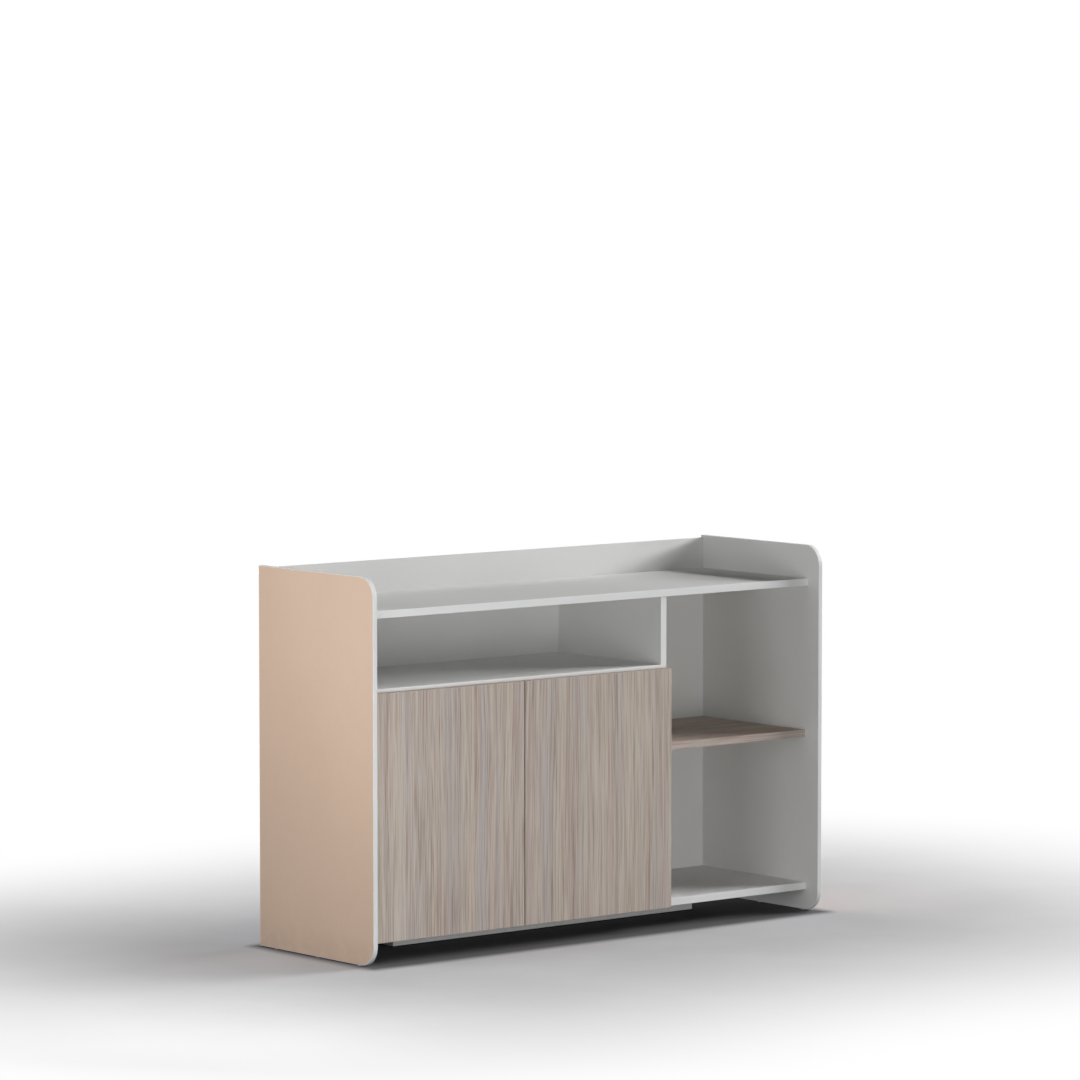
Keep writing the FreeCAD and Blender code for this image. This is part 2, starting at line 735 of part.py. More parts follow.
def back_screws():
    """Screws through the back into the boards that end against it, heads let in flush."""
    left = "(end_thickness + screw_margin)"
    right = "(width - end_thickness - screw_margin)"
    niche_right = f"({PARTITION_LEFT} - screw_margin)"
    upright_low = f"({BOTTOM_TOP} + screw_margin)"
    upright_high = f"({NICHE_UNDERSIDE} - screw_margin)"
    rows = (
        (worktop, [(across, WORKTOP_MIDDLE) for across in spread(left, right, LONG_ROW)]),
        (bottom_board, [(across, BOTTOM_MIDDLE) for across in spread(left, right, LONG_ROW)]),
        (niche_shelf, [(across, NICHE_MIDDLE) for across in spread(left, niche_right, SHELF_ROW)]),
        (partition, [(PARTITION_MIDDLE, up) for up in spread(upright_low, upright_high, UPRIGHT_ROW)]),
    )
    centres = [centre for held, holes in rows for centre in holes]
    loose = "screw_diameter + 2 * screw_hole_clearance"
    wide = "screw_head_diameter + 2 * screw_hole_clearance"
    for held, holes in rows:
        drill(held, "back", holes, "screw_diameter", "screw_length - back_thickness")
    drill(back_panel, "back", centres, loose, "back_thickness")
    drill(back_panel, "back", centres, wide, "screw_head_height")
    screws = []
    for index, (across, up) in enumerate(centres, start=1):
        start = (across, "depth", up)
        head = rod(f"BackScrewHead{index}", "-Y", start, "screw_head_diameter", "screw_head_height")
        shank = rod(f"BackScrewShank{index}", "-Y", start, "screw_diameter", "screw_length")
        screws.append(joined(f"BackScrew{index}", [head, shank]))
    return group("back_screws", screws)


back_screws()


# ---------------------------------------------------------------- loose shelves

def loose_shelf(label, left, right, setback, height, left_holder, right_holder):
    """A shelf that rests on four pins, two in each upright."""
    back = f"({BACK_FRONT} - shelf_clearance)"
    underside = f"({height} - shelf_thickness)"
    shelf = board(
        label,
        (f"{left} + shelf_clearance", setback, underside),
        (f"{right} - {left} - 2 * shelf_clearance", f"{back} - {setback}", "shelf_thickness"),
    )
    ease(shelf, is_front_arris)
    pin_height = f"({underside} - shelf_pin_diameter / 2 - seat_gap)"
    rows = [f"({setback} + shelf_pin_inset)", f"({back} - shelf_pin_inset)"]
    pins = []
    length = "shelf_pin_bite + shelf_pin_reach"
    for holder, face, plane, sign in ((left_holder, "right", left, 1), (right_holder, "left", right, -1)):
        drill(holder, face, [(row, pin_height) for row in rows], "shelf_pin_diameter", "shelf_pin_bite")
        start = shifted(plane, "shelf_pin_bite", -sign)
        out = "X" if sign > 0 else "-X"
        for index, row in enumerate(rows, start=1):
            name = f"{label}_pin_{face}{index}"
            pins.append(rod(name, out, (start, row, pin_height), "shelf_pin_diameter", length))
    return group(f"{label}_pins", pins)


loose_shelf(
    "cupboard_shelf", END_INNER_LEFT, PARTITION_LEFT, "cupboard_shelf_setback",
    "cupboard_shelf_height", left_end, partition,
)
loose_shelf(
    "bay_shelf", PARTITION_RIGHT, END_INNER_RIGHT, "bay_shelf_setback",
    "bay_shelf_height", partition, right_end,
)

# ---------------------------------------------------------------- doors

left_door = board(
    "left_door",
    (DOOR_LEFT_EDGE, DOOR_FRONT, "underside_height"),
    (DOOR_WIDTH, "door_thickness", DOOR_HEIGHT),
)
right_door = board(
    "right_door",
    (f"{DOOR_RIGHT_EDGE} - {DOOR_WIDTH}", DOOR_FRONT, "underside_height"),
    (DOOR_WIDTH, "door_thickness", DOOR_HEIGHT),
)
for door in (left_door, right_door):
    ease(door, is_any_arris)


# ---------------------------------------------------------------- concealed hinges

# A hinge is laid out from its door's hinged edge: inwards along the door, and backwards
# from the door's front face.
CUP_INSET = "(cup_edge_distance + cup_diameter / 2)"
CUP_FLOOR = "(door_thickness - cup_depth)"
NOSE_LOW = "(nose_depth - nose_half - link_gap / 2)"


def hinge_cup(name, edge, sign, height):
    """A cup let into the door, with a rim, a screw flange and two ears for the link."""
    centre = shifted(edge, CUP_INSET, sign)
    start = (centre, f"{DOOR_FRONT} + {CUP_FLOOR}", height)
    shell = rod(f"{name}Shell", "Y", start, "cup_diameter", "cup_depth")
    rim_start = (centre, DOOR_BACK, height)
    rim = rod(f"{name}Rim", "Y", rim_start, "cup_diameter + 2 * cup_rim", "flange_thickness")
    flange_side = "flange_inner" if sign > 0 else "flange_outer"
    flange = block(
        f"{name}Flange",
        (f"{centre} - {flange_side}", DOOR_BACK, f"{height} - flange_height / 2"),
        ("flange_inner + flange_outer", "flange_thickness", "flange_height"),
    )
    hollow_start = (centre, f"{DOOR_FRONT} + {CUP_FLOOR} + cup_wall", height)
    hollow_diameter = "cup_diameter - 2 * cup_wall"
    hollow = rod(f"{name}Hollow", "Y", hollow_start, hollow_diameter, "cup_depth + flange_thickness")
    holes = []
    for index, (across, up) in enumerate(cup_screw_places(edge, sign, height), start=1):
        begin = (across, DOOR_BACK, up)
        holes.append(rod(f"{name}Hole{index}", "Y", begin, "screw_diameter", "flange_thickness"))
    ears = []
    for index, lift in enumerate((f"{LUG_START}", f"-{LUG_START} - lug_thickness"), start=1):
        near = shifted(edge, "lug_near" if sign > 0 else "lug_far", sign)
        ears.append(block(
            f"{name}Ear{index}",
            (near, f"{DOOR_FRONT} + {CUP_FLOOR} + cup_wall / 2", f"{height} + {lift}"),
            ("lug_far - lug_near", f"lug_depth - {CUP_FLOOR} - cup_wall / 2", "lug_thickness"),
        ))
    pressed = without(f"{name}Pressed", joined(f"{name}Blank", [shell, rim, flange]), [hollow] + holes)
    return joined(name, [pressed] + ears)


LUG_START = "(nose_width / 2 + link_gap + link_plate + lug_gap)"


def cup_screw_places(edge, sign, height):
    across = shifted(edge, f"{CUP_INSET} + cup_screw_shift", sign)
    half = "cup_screw_spacing / 2"
    return [(across, f"({height} + {half})"), (across, f"({height} - {half})")]


def hinge_arm(name, edge, sign, height, wall):
    """The fixed arm: a cranked bar from the mounting plate to the nose inside the cup."""
    body = document.addObject("PartDesign::Body", name)
    outline = sketch_on(body, f"{name}_outline", "XY_Plane")
    seat = f"({wall} + plate_height)"
    face = f"({seat} + arm_thickness)"
    profile = [
        (seat, "arm_end"),
        (seat, "arm_knee"),
        ("nose_inset - nose_half", "nose_shoulder"),
        ("nose_inset - nose_half", "nose_depth - nose_half"),
        ("nose_inset + nose_half", "nose_depth - nose_half"),
        ("nose_inset + nose_half", "nose_shoulder + arm_thickness"),
        (face, "arm_knee + arm_thickness"),
        (face, "arm_end"),
    ]
    add_polygon(outline, [(f"{sign} * ({across})", back) for across, back in profile])
    pad(body, outline, "nose_width")
    holes = sketch_on(body, f"{name}_pin_hole", "XY_Plane")
    pin_centre = (f"{sign} * nose_inset", "nose_depth")
    add_circles(holes, [pin_centre], "link_pin_diameter + 2 * link_pin_clearance")
    pocket(body, holes, "nose_width", True)
    place(body, edge, DOOR_FRONT, f"{height} - nose_width / 2")
    start = (shifted(edge, face, sign), f"{DOOR_FRONT} + plate_screw_depth", height)
    inward = "-X" if sign > 0 else "X"
    bore = rod(f"{name}ScrewHole", inward, start, "screw_diameter", "arm_thickness")
    return without(f"{name}_bored", body, [bore])


def hinge_plate(name, edge, sign, height, wall):
    """The mounting plate on the upright: a flat base with a rib under the arm."""
    base_near = wall if sign > 0 else f"{wall} + plate_base"
    rib_near = wall if sign > 0 else f"{wall} + plate_height"
    length = "plate_back - plate_front"
    base = block(
        f"{name}Base",
        (shifted(edge, base_near, sign), f"{DOOR_FRONT} + plate_front", f"{height} - plate_base_height / 2"),
        ("plate_base", length, "plate_base_height"),
    )
    rib = block(
        f"{name}Rib",
        (shifted(edge, rib_near, sign), f"{DOOR_FRONT} + plate_front", f"{height} - plate_rib_height / 2"),
        ("plate_height", length, "plate_rib_height"),
    )
    outward = "X" if sign > 0 else "-X"
    holes = []
    for index, up in enumerate(plate_screw_heights(height), start=1):
        start = (shifted(edge, wall, sign), f"{DOOR_FRONT} + plate_screw_depth", up)
        holes.append(rod(f"{name}Hole{index}", outward, start, "screw_diameter", "plate_base"))
    bite = "(arm_screw_length - arm_thickness)"
    seat_across = shifted(edge, f"{wall} + plate_height - {bite}", sign)
    start = (seat_across, f"{DOOR_FRONT} + plate_screw_depth", height)
    holes.append(rod(f"{name}ArmHole", outward, start, "screw_diameter", bite))
    return without(name, joined(f"{name}Blank", [base, rib]), holes)


def plate_screw_heights(height):
    return [f"({height} + plate_screw_spacing / 2)", f"({height} - plate_screw_spacing / 2)"]


def headed_screw(name, direction, seat, opposite, length):
    """A screw whose head stands on a surface: seat is the point where head and shank meet."""
    head = rod(f"{name}Head", opposite, seat, "screw_head_diameter", "small_head_height")
    shank = rod(f"{name}Shank", direction, seat, "screw_diameter", length)
    return joined(name, [head, shank])


def hinge_link(name, edge, sign, height):
    """The link: two plates beside the arm's nose on one pin, folded into the cup."""
    pin_across = shifted(edge, "nose_inset", sign)
    front = f"{DOOR_FRONT} + nose_depth"
    half_width = "(nose_width / 2 + link_gap + link_plate)"
    pin = rod(f"{name}Pin", "Z", (pin_across, front, f"{height} - {half_width}"),
              "link_pin_diameter", f"2 * {half_width}")
    pieces = [pin]
    tip_across = shifted(edge, "nose_inset - link_length", sign)
    bar_near = tip_across if sign > 0 else pin_across
    for index, low in enumerate((f"-{half_width}", "nose_width / 2 + link_gap"), start=1):
        level = f"{height} + {low}"
        bar = block(
            f"{name}Bar{index}",
            (bar_near, f"{front} - link_half", level),
            ("link_length", "2 * link_half", "link_plate"),
        )
        tip = rod(f"{name}Tip{index}", "Z", (tip_across, front, level), "2 * link_half", "link_plate")
        eye = rod(f"{name}Eye{index}", "Z", (pin_across, front, level), "2 * link_half", "link_plate")
        pieces.extend([bar, tip, eye])
    return joined(name, pieces)


def hinges(side, door, upright, upright_face, edge, sign, wall):
    """Both hinges of one door, with their screws and holes."""
    cups = []
    arms = []
    plates = []
    links = []
    cup_screws = []
    plate_screws = []
    wall_place = shifted(edge, wall, sign)
    into_wall = "-X" if sign > 0 else "X"
    out_of_wall = "X" if sign > 0 else "-X"
    cup_centre = shifted(edge, CUP_INSET, sign)
    screw_bite = "cup_screw_length - flange_thickness"
    depth = f"{DOOR_FRONT} + plate_screw_depth"
    drill(door, "back", [(cup_centre, height) for height in HINGE_HEIGHTS], "cup_diameter", "cup_depth")
    for index, height in enumerate(HINGE_HEIGHTS, start=1):
        name = f"{side}Hinge{index}"
        cups.append(hinge_cup(f"{name}Cup", edge, sign, height))
        arms.append(hinge_arm(f"{name}Arm", edge, sign, height, wall))
        plates.append(hinge_plate(f"{name}Plate", edge, sign, height, wall))
        links.append(hinge_link(f"{name}Link", edge, sign, height))
        places = cup_screw_places(edge, sign, height)
        drill(door, "back", places, "screw_diameter", screw_bite)
        for count, (across, up) in enumerate(places, start=1):
            seat = (across, f"{DOOR_BACK} + flange_thickness", up)
            cup_screws.append(headed_screw(f"{name}CupScrew{count}", "-Y", seat, "Y", "cup_screw_length"))
        heights = plate_screw_heights(height)
        bite = "plate_screw_length - plate_base"
        drill(upright, upright_face, [(depth, up) for up in heights], "screw_diameter", bite)
        for count, up in enumerate(heights, start=1):
            seat = (shifted(wall_place, "plate_base", sign), depth, up)
            screw_name = f"{name}PlateScrew{count}"
            plate_screws.append(headed_screw(screw_name, into_wall, seat, out_of_wall, "plate_screw_length"))
        seat = (shifted(wall_place, "plate_height + arm_thickness", sign), depth, height)
        plate_screws.append(headed_screw(f"{name}ArmScrew", into_wall, seat, out_of_wall, "arm_screw_length"))
    label = side.lower()
    group(f"{label}_hinge_cups", cups)
    group(f"{label}_hinge_cup_screws", cup_screws)
    group(f"{label}_hinge_links", links)
    group(f"{label}_hinge_arms", arms)
    group(f"{label}_hinge_plates", plates)
    group(f"{label}_hinge_plate_screws", plate_screws)


hinges("Left", left_door, left_end, "right", DOOR_LEFT_EDGE, 1, "(-door_side_gap)")
hinges("Right", right_door, partition, "left", DOOR_RIGHT_EDGE, -1, "board_thickness")


# ---------------------------------------------------------------- push latches

LATCH_FRONT = "(carcass_setback + latch_setback)"
LATCH_AXIS = f"({NICHE_UNDERSIDE} - latch_height / 2)"
PLUNGER_TIP = f"({DOOR_BACK} + strike_thickness + plunger_tip_gap)"
PLUNGER_END = f"({PLUNGER_TIP} + plunger_length)"
BORE_END = f"({PLUNGER_END} + plunger_travel + plunger_end_room)"


def latch_spring(name, centre):
    """The latch's spring, from the bottom of the plunger's bore to the end of the housing's."""
    start = number(f"{PLUNGER_END} - spring_bore_depth + seat_gap + spring_wire / 2")
    end = number(f"{BORE_END} - seat_gap - spring_wire / 2")
    radius = number("spring_mean_diameter / 2")
    helix = Part.makeHelix(number("spring_pitch"), end - start, radius)
    middle = FreeCAD.Vector(radius, 0, 0)
    tangent = FreeCAD.Vector(0, 1, 0)
    circle = Part.Wire([Part.makeCircle(number("spring_wire / 2"), middle, tangent)])
    coil = Part.Wire(helix.Edges).makePipeShell([circle], True, True)
    spring = document.addObject("Part::Feature", name)
    spring.Shape = coil
    spring.Placement = FreeCAD.Placement(
        FreeCAD.Vector(number(f"{centre} - width / 2"), start - number("depth / 2"), number(LATCH_AXIS)),
        TURN_TO["Y"],
    )
    return spring


def push_latch(side, door_edge, sign):
    """A sprung plunger in a housing under the niche shelf, and its strike plate on the door."""
    label = side.lower()
    centre = shifted(door_edge, "latch_offset", sign)
    body = block(
        f"{side}LatchBody",
        (f"{centre} - latch_width / 2", LATCH_FRONT, f"{NICHE_UNDERSIDE} - latch_height"),
        ("latch_width", "latch_length", "latch_height"),
    )
    ears = block(
        f"{side}LatchEars",
        (f"{centre} - latch_ear_width / 2", f"{LATCH_FRONT} + latch_ear_start",
         f"{NICHE_UNDERSIDE} - latch_ear_height"),
        ("latch_ear_width", "latch_ear_length", "latch_ear_height"),
    )
    bore = rod(
        f"{side}LatchBore", "Y", (centre, LATCH_FRONT, LATCH_AXIS),
        "plunger_diameter + 2 * plunger_clearance", f"{BORE_END} - {LATCH_FRONT}",
    )
    screw_row = f"({LATCH_FRONT} + latch_ear_start + latch_ear_length / 2)"
    ear_underside = f"({NICHE_UNDERSIDE} - latch_ear_height)"
    places = [(shifted(centre, "latch_screw_offset", way), screw_row) for way in (-1, 1)]
    holes = []
    screws = []
    for index, (across, back) in enumerate(places, start=1):
        seat = (across, back, ear_underside)
        holes.append(rod(f"{side}LatchHole{index}", "Z", seat, "screw_diameter", "latch_ear_height"))
        head_low = (across, back, f"{ear_underside} - small_head_height")
        head = rod(f"{side}LatchHead{index}", "Z", head_low, "screw_head_diameter", "small_head_height")
        shank = rod(f"{side}LatchShank{index}", "Z", seat, "screw_diameter", "latch_screw_length")
        screws.append(joined(f"{side}LatchScrew{index}", [head, shank]))
    drill(niche_shelf, "bottom", places, "screw_diameter", "latch_screw_length - latch_ear_height")
    blank = joined(f"{side}LatchBlank", [body, ears])
    sub_part(without(f"{side}LatchHousing", blank, [bore] + holes), f"{label}_latch_housing")
    start = (centre, PLUNGER_TIP, LATCH_AXIS)
    solid = rod(f"{side}PlungerRod", "Y", start, "plunger_diameter", "plunger_length")
    hollow_start = (centre, f"{PLUNGER_END} - spring_bore_depth", LATCH_AXIS)
    hollow = rod(f"{side}PlungerBore", "Y", hollow_start, "spring_bore_diameter", "spring_bore_depth")
    sub_part(without(f"{side}Plunger", solid, [hollow]), f"{label}_latch_plunger")
    sub_part(latch_spring(f"{side}Spring", centre), f"{label}_latch_spring")
    strike = block(
        f"{side}Strike",
        (f"{centre} - strike_width / 2", DOOR_BACK, f"{LATCH_AXIS} - strike_height / 2"),
        ("strike_width", "strike_thickness", "strike_height"),
    )
    sub_part(strike, f"{label}_strike_plate")
    return screws


left_meeting_edge = f"({DOOR_LEFT_EDGE} + {DOOR_WIDTH})"
right_meeting_edge = f"({DOOR_RIGHT_EDGE} - {DOOR_WIDTH})"
left_screws = push_latch("Left", left_meeting_edge, -1)
right_screws = push_latch("Right", right_meeting_edge, 1)
group("latch_screws", left_screws + right_screws)


# ---------------------------------------------------------------- plinth and levelling feet

def plinth():
    """Four rails, a threaded block in each corner and the screws that hold them."""
    inner_left = f"({PLINTH_LEFT} + plinth_thickness)"
    inner_right = f"({PLINTH_RIGHT} - plinth_thickness)"
    inner_front = "(plinth_setback + plinth_thickness)"
    inner_back = f"({PLINTH_BACK} - plinth_thickness)"
    long_size = ("plinth_length", "plinth_thickness", PLINTH_HEIGHT)
    short_size = ("plinth_thickness", f"{inner_back} - {inner_front}", PLINTH_HEIGHT)
    front = board("plinth_front_rail", (PLINTH_LEFT, "plinth_setback", "plinth_floor_gap"), long_size)
    back = board("plinth_back_rail", (PLINTH_LEFT, inner_back, "plinth_floor_gap"), long_size)
    left = board("plinth_left_rail", (PLINTH_LEFT, inner_front, "plinth_floor_gap"), short_size)
    right = board("plinth_right_rail", (inner_right, inner_front, "plinth_floor_gap"), short_size)
    for rail in (front, back, left, right):
        ease(rail, is_bottom_arris)
    block_height = "underside_height - block_underside"
    blocks = []
    screws = []
    board_holes = []
    rails = {1: left, -1: right}
    long_rails = {1: (front, "back"), -1: (back, "front")}
    rail_holes = {1: [], -1: []}
    long_rail_holes = {1: [], -1: []}
    reach = "block_width + plinth_screw_bite"
    upper = "(underside_height - plinth_screw_drop)"
    lower = "(underside_height - plinth_screw_drop - plinth_screw_step)"
    feet_names = {(1, 1): "front_left", (-1, 1): "front_right", (1, -1): "back_left", (-1, -1): "back_right"}
    for (across_sign, back_sign), corner_name in feet_names.items():
        name = "Plinth" + corner_name.title().replace("_", "")
        side_plane = inner_left if across_sign > 0 else inner_right
        end_plane = inner_front if back_sign > 0 else inner_back
        low_left = side_plane if across_sign > 0 else f"({side_plane} - block_width)"
        low_front = end_plane if back_sign > 0 else f"({end_plane} - block_width)"
        middle = (shifted(side_plane, "block_width / 2", across_sign),
                  shifted(end_plane, "block_width / 2", back_sign))
        cube = block(f"{name}Cube", (low_left, low_front, "block_underside"),
                     ("block_width", "block_width", block_height))
        foot_bore = rod(f"{name}Bore", "Z", (*middle, "block_underside"),
                        "foot_stud_diameter + 2 * foot_clearance", block_height)
        far_across = shifted(side_plane, "block_width - plinth_screw_inset", across_sign)
        far_back = shifted(end_plane, "block_width - plinth_screw_inset", back_sign)
        side_start = (shifted(side_plane, "block_width", across_sign), far_back, upper)
        side_way = "-X" if across_sign > 0 else "X"
        end_start = (far_across, shifted(end_plane, "block_width", back_sign), lower)
        end_way = "-Y" if back_sign > 0 else "Y"
        near_across = shifted(side_plane, "plinth_screw_inset", across_sign)
        near_back = shifted(end_plane, "plinth_screw_inset", back_sign)
        up_start = (near_across, near_back, "block_underside")
        runs = ((side_way, side_start, reach), (end_way, end_start, reach),
                ("Z", up_start, f"{block_height} + plinth_screw_bite"))
        cuts = []
        for index, (way, start, length) in enumerate(runs, start=1):
            cuts.append(rod(f"{name}Hole{index}", way, start, "plinth_screw_diameter", length))
            screws.append(rod(f"{name}Screw{index}", way, start, "plinth_screw_diameter", length))
        blocks.append(without(f"{name}Block", cube, [foot_bore] + cuts))
        rail_holes[across_sign].append((far_back, upper))
        long_rail_holes[back_sign].append((far_across, lower))
        board_holes.append((near_across, near_back))
        levelling_foot(f"{corner_name}_foot", middle)
    for sign, rail in rails.items():
        face = "right" if sign > 0 else "left"
        drill(rail, face, rail_holes[sign], "plinth_screw_diameter", "plinth_screw_bite")
        rail, face = long_rails[sign]
        drill(rail, face, long_rail_holes[sign], "plinth_screw_diameter", "plinth_screw_bite")
    drill(bottom_board, "bottom", board_holes, "plinth_screw_diameter", "plinth_screw_bite")
    group("plinth_corner_blocks", blocks)
    group("plinth_screws", screws)


def levelling_foot(label, middle):
    """A foot that screws up and down in its corner block."""
    pad_disc = rod(f"{label}_pad", "Z", (*middle, "0"), "foot_pad_diameter", "foot_pad_height")
    stud = rod(f"{label}_stud", "Z", (*middle, "foot_pad_height"), "foot_stud_diameter", "foot_stud_length")
    return sub_part(joined(label, [pad_disc, stud]), label)


plinth()

# ---------------------------------------------------------------- checks and files

document.recompute()
failed = [item.Name for item in document.Objects if {"Invalid", "Error"} & set(item.State)]
if failed:
    raise RuntimeError(f"objects that failed to build: {failed}")
for item in SUB_PARTS:
    if item.Shape.isNull() or not item.Shape.isValid() or not item.Shape.Solids:
        raise RuntimeError(f"{item.Label} has no valid solid")

os.makedirs("parts", exist_ok=True)
for item in SUB_PARTS:
    item.Shape.exportStep(os.path.join("parts", f"{item.Label}.step"))
print(f"{len(SUB_PARTS)} sub-parts written")
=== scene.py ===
import json
import math

import bmesh
import bpy
from mathutils import Matrix, Vector

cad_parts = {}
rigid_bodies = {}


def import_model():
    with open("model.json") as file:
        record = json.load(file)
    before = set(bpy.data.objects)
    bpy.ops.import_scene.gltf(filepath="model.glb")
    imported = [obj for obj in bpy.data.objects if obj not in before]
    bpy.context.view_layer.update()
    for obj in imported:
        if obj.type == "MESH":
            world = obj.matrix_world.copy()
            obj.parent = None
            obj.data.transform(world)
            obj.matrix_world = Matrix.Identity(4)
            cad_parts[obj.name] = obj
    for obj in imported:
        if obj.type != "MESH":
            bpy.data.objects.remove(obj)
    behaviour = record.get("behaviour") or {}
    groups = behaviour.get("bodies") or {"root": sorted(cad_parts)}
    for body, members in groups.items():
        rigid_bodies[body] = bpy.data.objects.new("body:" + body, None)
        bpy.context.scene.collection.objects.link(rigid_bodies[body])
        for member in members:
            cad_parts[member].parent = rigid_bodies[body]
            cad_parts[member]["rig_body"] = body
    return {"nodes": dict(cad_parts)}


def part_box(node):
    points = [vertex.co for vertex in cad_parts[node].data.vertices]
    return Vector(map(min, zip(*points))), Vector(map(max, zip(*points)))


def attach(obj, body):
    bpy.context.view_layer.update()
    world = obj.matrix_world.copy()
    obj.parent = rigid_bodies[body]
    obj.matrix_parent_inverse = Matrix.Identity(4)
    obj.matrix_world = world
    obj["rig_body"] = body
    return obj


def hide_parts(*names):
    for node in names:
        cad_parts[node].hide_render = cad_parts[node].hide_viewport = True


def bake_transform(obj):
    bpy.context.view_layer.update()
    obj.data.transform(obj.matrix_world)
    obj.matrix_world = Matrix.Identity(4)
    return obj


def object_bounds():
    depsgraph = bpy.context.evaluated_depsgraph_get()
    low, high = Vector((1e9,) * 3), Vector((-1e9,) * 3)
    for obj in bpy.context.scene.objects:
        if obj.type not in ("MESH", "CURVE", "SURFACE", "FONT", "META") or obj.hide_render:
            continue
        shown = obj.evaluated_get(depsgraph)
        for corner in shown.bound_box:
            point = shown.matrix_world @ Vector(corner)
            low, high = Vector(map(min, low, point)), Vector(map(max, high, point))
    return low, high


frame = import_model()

cad_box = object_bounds()

# The looks of the office credenza, in metres. The CAD nodes keep their places and shapes and get
# procedural finishes. Screws, latch springs and levelling feet are drawn again in full detail.

# ---------------------------------------------------------------- shader writing

# Where the Mix node has its first input, its second input and its output, for each kind of data.
MIX_SOCKETS = {"FLOAT": (2, 3, 0), "RGBA": (6, 7, 2)}


def linear(red, green, blue):
    """A colour given as it looks on screen, 0 to 255, as the shader wants it."""
    def channel(value):
        value = value / 255
        return value / 12.92 if value <= 0.04045 else ((value + 0.055) / 1.055) ** 2.4
    return (channel(red), channel(green), channel(blue), 1.0)


class Finish:
    """One material's nodes, with a method for each kind of step."""

    def __init__(self, name, metallic=0.0):
        self.material = bpy.data.materials.new(name)
        self.material.use_nodes = True
        self.tree = self.material.node_tree
        self.tree.nodes.clear()
        self.output = self.node("ShaderNodeOutputMaterial")
        self.shader = self.node("ShaderNodeBsdfPrincipled")
        self.tree.links.new(self.shader.outputs["BSDF"], self.output.inputs["Surface"])
        self.shader.inputs["Metallic"].default_value = metallic
        where = self.node("ShaderNodeTexCoord")
        self.place = where.outputs["Object"]
        self.facing = where.outputs["Normal"]

    def node(self, kind, **settings):
        made = self.tree.nodes.new(kind)
        for key, value in settings.items():
            setattr(made, key, value)
        return made

    def put(self, socket, value):
        if isinstance(value, bpy.types.NodeSocket):
            self.tree.links.new(value, socket)
        else:
            socket.default_value = value

    def math(self, operation, first, second=0.0):
        made = self.node("ShaderNodeMath", operation=operation)
        self.put(made.inputs[0], first)
        self.put(made.inputs[1], second)
        return made.outputs[0]

    def add(self, first, second):
        return self.math("ADD", first, second)

    def less(self, first, second):
        return self.math("SUBTRACT", first, second)

    def times(self, first, second):
        return self.math("MULTIPLY", first, second)

    def split(self, vector):
        made = self.node("ShaderNodeSeparateXYZ")
        self.put(made.inputs[0], vector)
        return made.outputs[0], made.outputs[1], made.outputs[2]

    def join(self, across, deep, up):
        made = self.node("ShaderNodeCombineXYZ")
        self.put(made.inputs[0], across)
        self.put(made.inputs[1], deep)
        self.put(made.inputs[2], up)
        return made.outputs[0]

    def stretch(self, vector, scale):
        made = self.node("ShaderNodeMapping")
        self.put(made.inputs["Vector"], vector)
        made.inputs["Scale"].default_value = scale
        return made.outputs[0]

    def noise(self, vector, scale, detail, rough=0.5, warp=0.0):
        made = self.node("ShaderNodeTexNoise", noise_dimensions="3D")
        self.put(made.inputs["Vector"], vector)
        self.put(made.inputs["Scale"], scale)
        self.put(made.inputs["Detail"], detail)
        self.put(made.inputs["Roughness"], rough)
        self.put(made.inputs["Distortion"], warp)
        return made.outputs["Fac"]

    def cells(self, vector, scale=1.0, output="Distance"):
        made = self.node("ShaderNodeTexVoronoi", feature="F1")
        self.put(made.inputs["Vector"], vector)
        self.put(made.inputs["Scale"], scale)
        return made.outputs[output]

    def span(self, value, low, high, new_low=0.0, new_high=1.0):
        """value between low and high becomes new_low to new_high, and stays there outside."""
        made = self.node("ShaderNodeMapRange", interpolation_type="SMOOTHSTEP")
        self.put(made.inputs["Value"], value)
        self.put(made.inputs["From Min"], low)
        self.put(made.inputs["From Max"], high)
        self.put(made.inputs["To Min"], new_low)
        self.put(made.inputs["To Max"], new_high)
        return made.outputs["Result"]

    def mix(self, factor, first, second, kind="RGBA"):
        made = self.node("ShaderNodeMix", data_type=kind)
        first_socket, second_socket, result = MIX_SOCKETS[kind]
        self.put(made.inputs[0], factor)
        self.put(made.inputs[first_socket], first)
        self.put(made.inputs[second_socket], second)
        return made.outputs[result]

    def mix_value(self, factor, first, second):
        return self.mix(factor, first, second, "FLOAT")

    def ramp(self, value, stops):
        made = self.node("ShaderNodeValToRGB")
        self.put(made.inputs[0], value)
        steps = made.color_ramp.elements
        while len(steps) < len(stops):
            steps.new(0.5)
        for step, (position, colour) in zip(steps, stops):
            step.position = position
            step.color = colour
        return made.outputs["Color"]

    def bump(self, height, distance, strength, under=None):
        made = self.node("ShaderNodeBump")
        self.put(made.inputs["Height"], height)
        self.put(made.inputs["Distance"], distance)
        self.put(made.inputs["Strength"], strength)
        if under is not None:
            self.put(made.inputs["Normal"], under)
        return made.outputs["Normal"]

    def dull_at_a_slant(self, level):
        """A matt surface: its gloss is level seen squarely and dies away towards a grazing view."""
        weight = self.node("ShaderNodeLayerWeight")
        weight.inputs["Blend"].default_value = 0.5
        gloss = self.span(weight.outputs["Facing"], 0.40, 0.80, level, 0.0)
        self.put(self.shader.inputs["Specular IOR Level"], gloss)

    def done(self, colour, roughness, normal, coat=0.0, coat_roughness=0.2):
        self.put(self.shader.inputs["Base Color"], colour)
        self.put(self.shader.inputs["Roughness"], roughness)
        self.put(self.shader.inputs["Normal"], normal)
        self.shader.inputs["Coat Weight"].default_value = coat
        self.shader.inputs["Coat Roughness"].default_value = coat_roughness
        return self.material


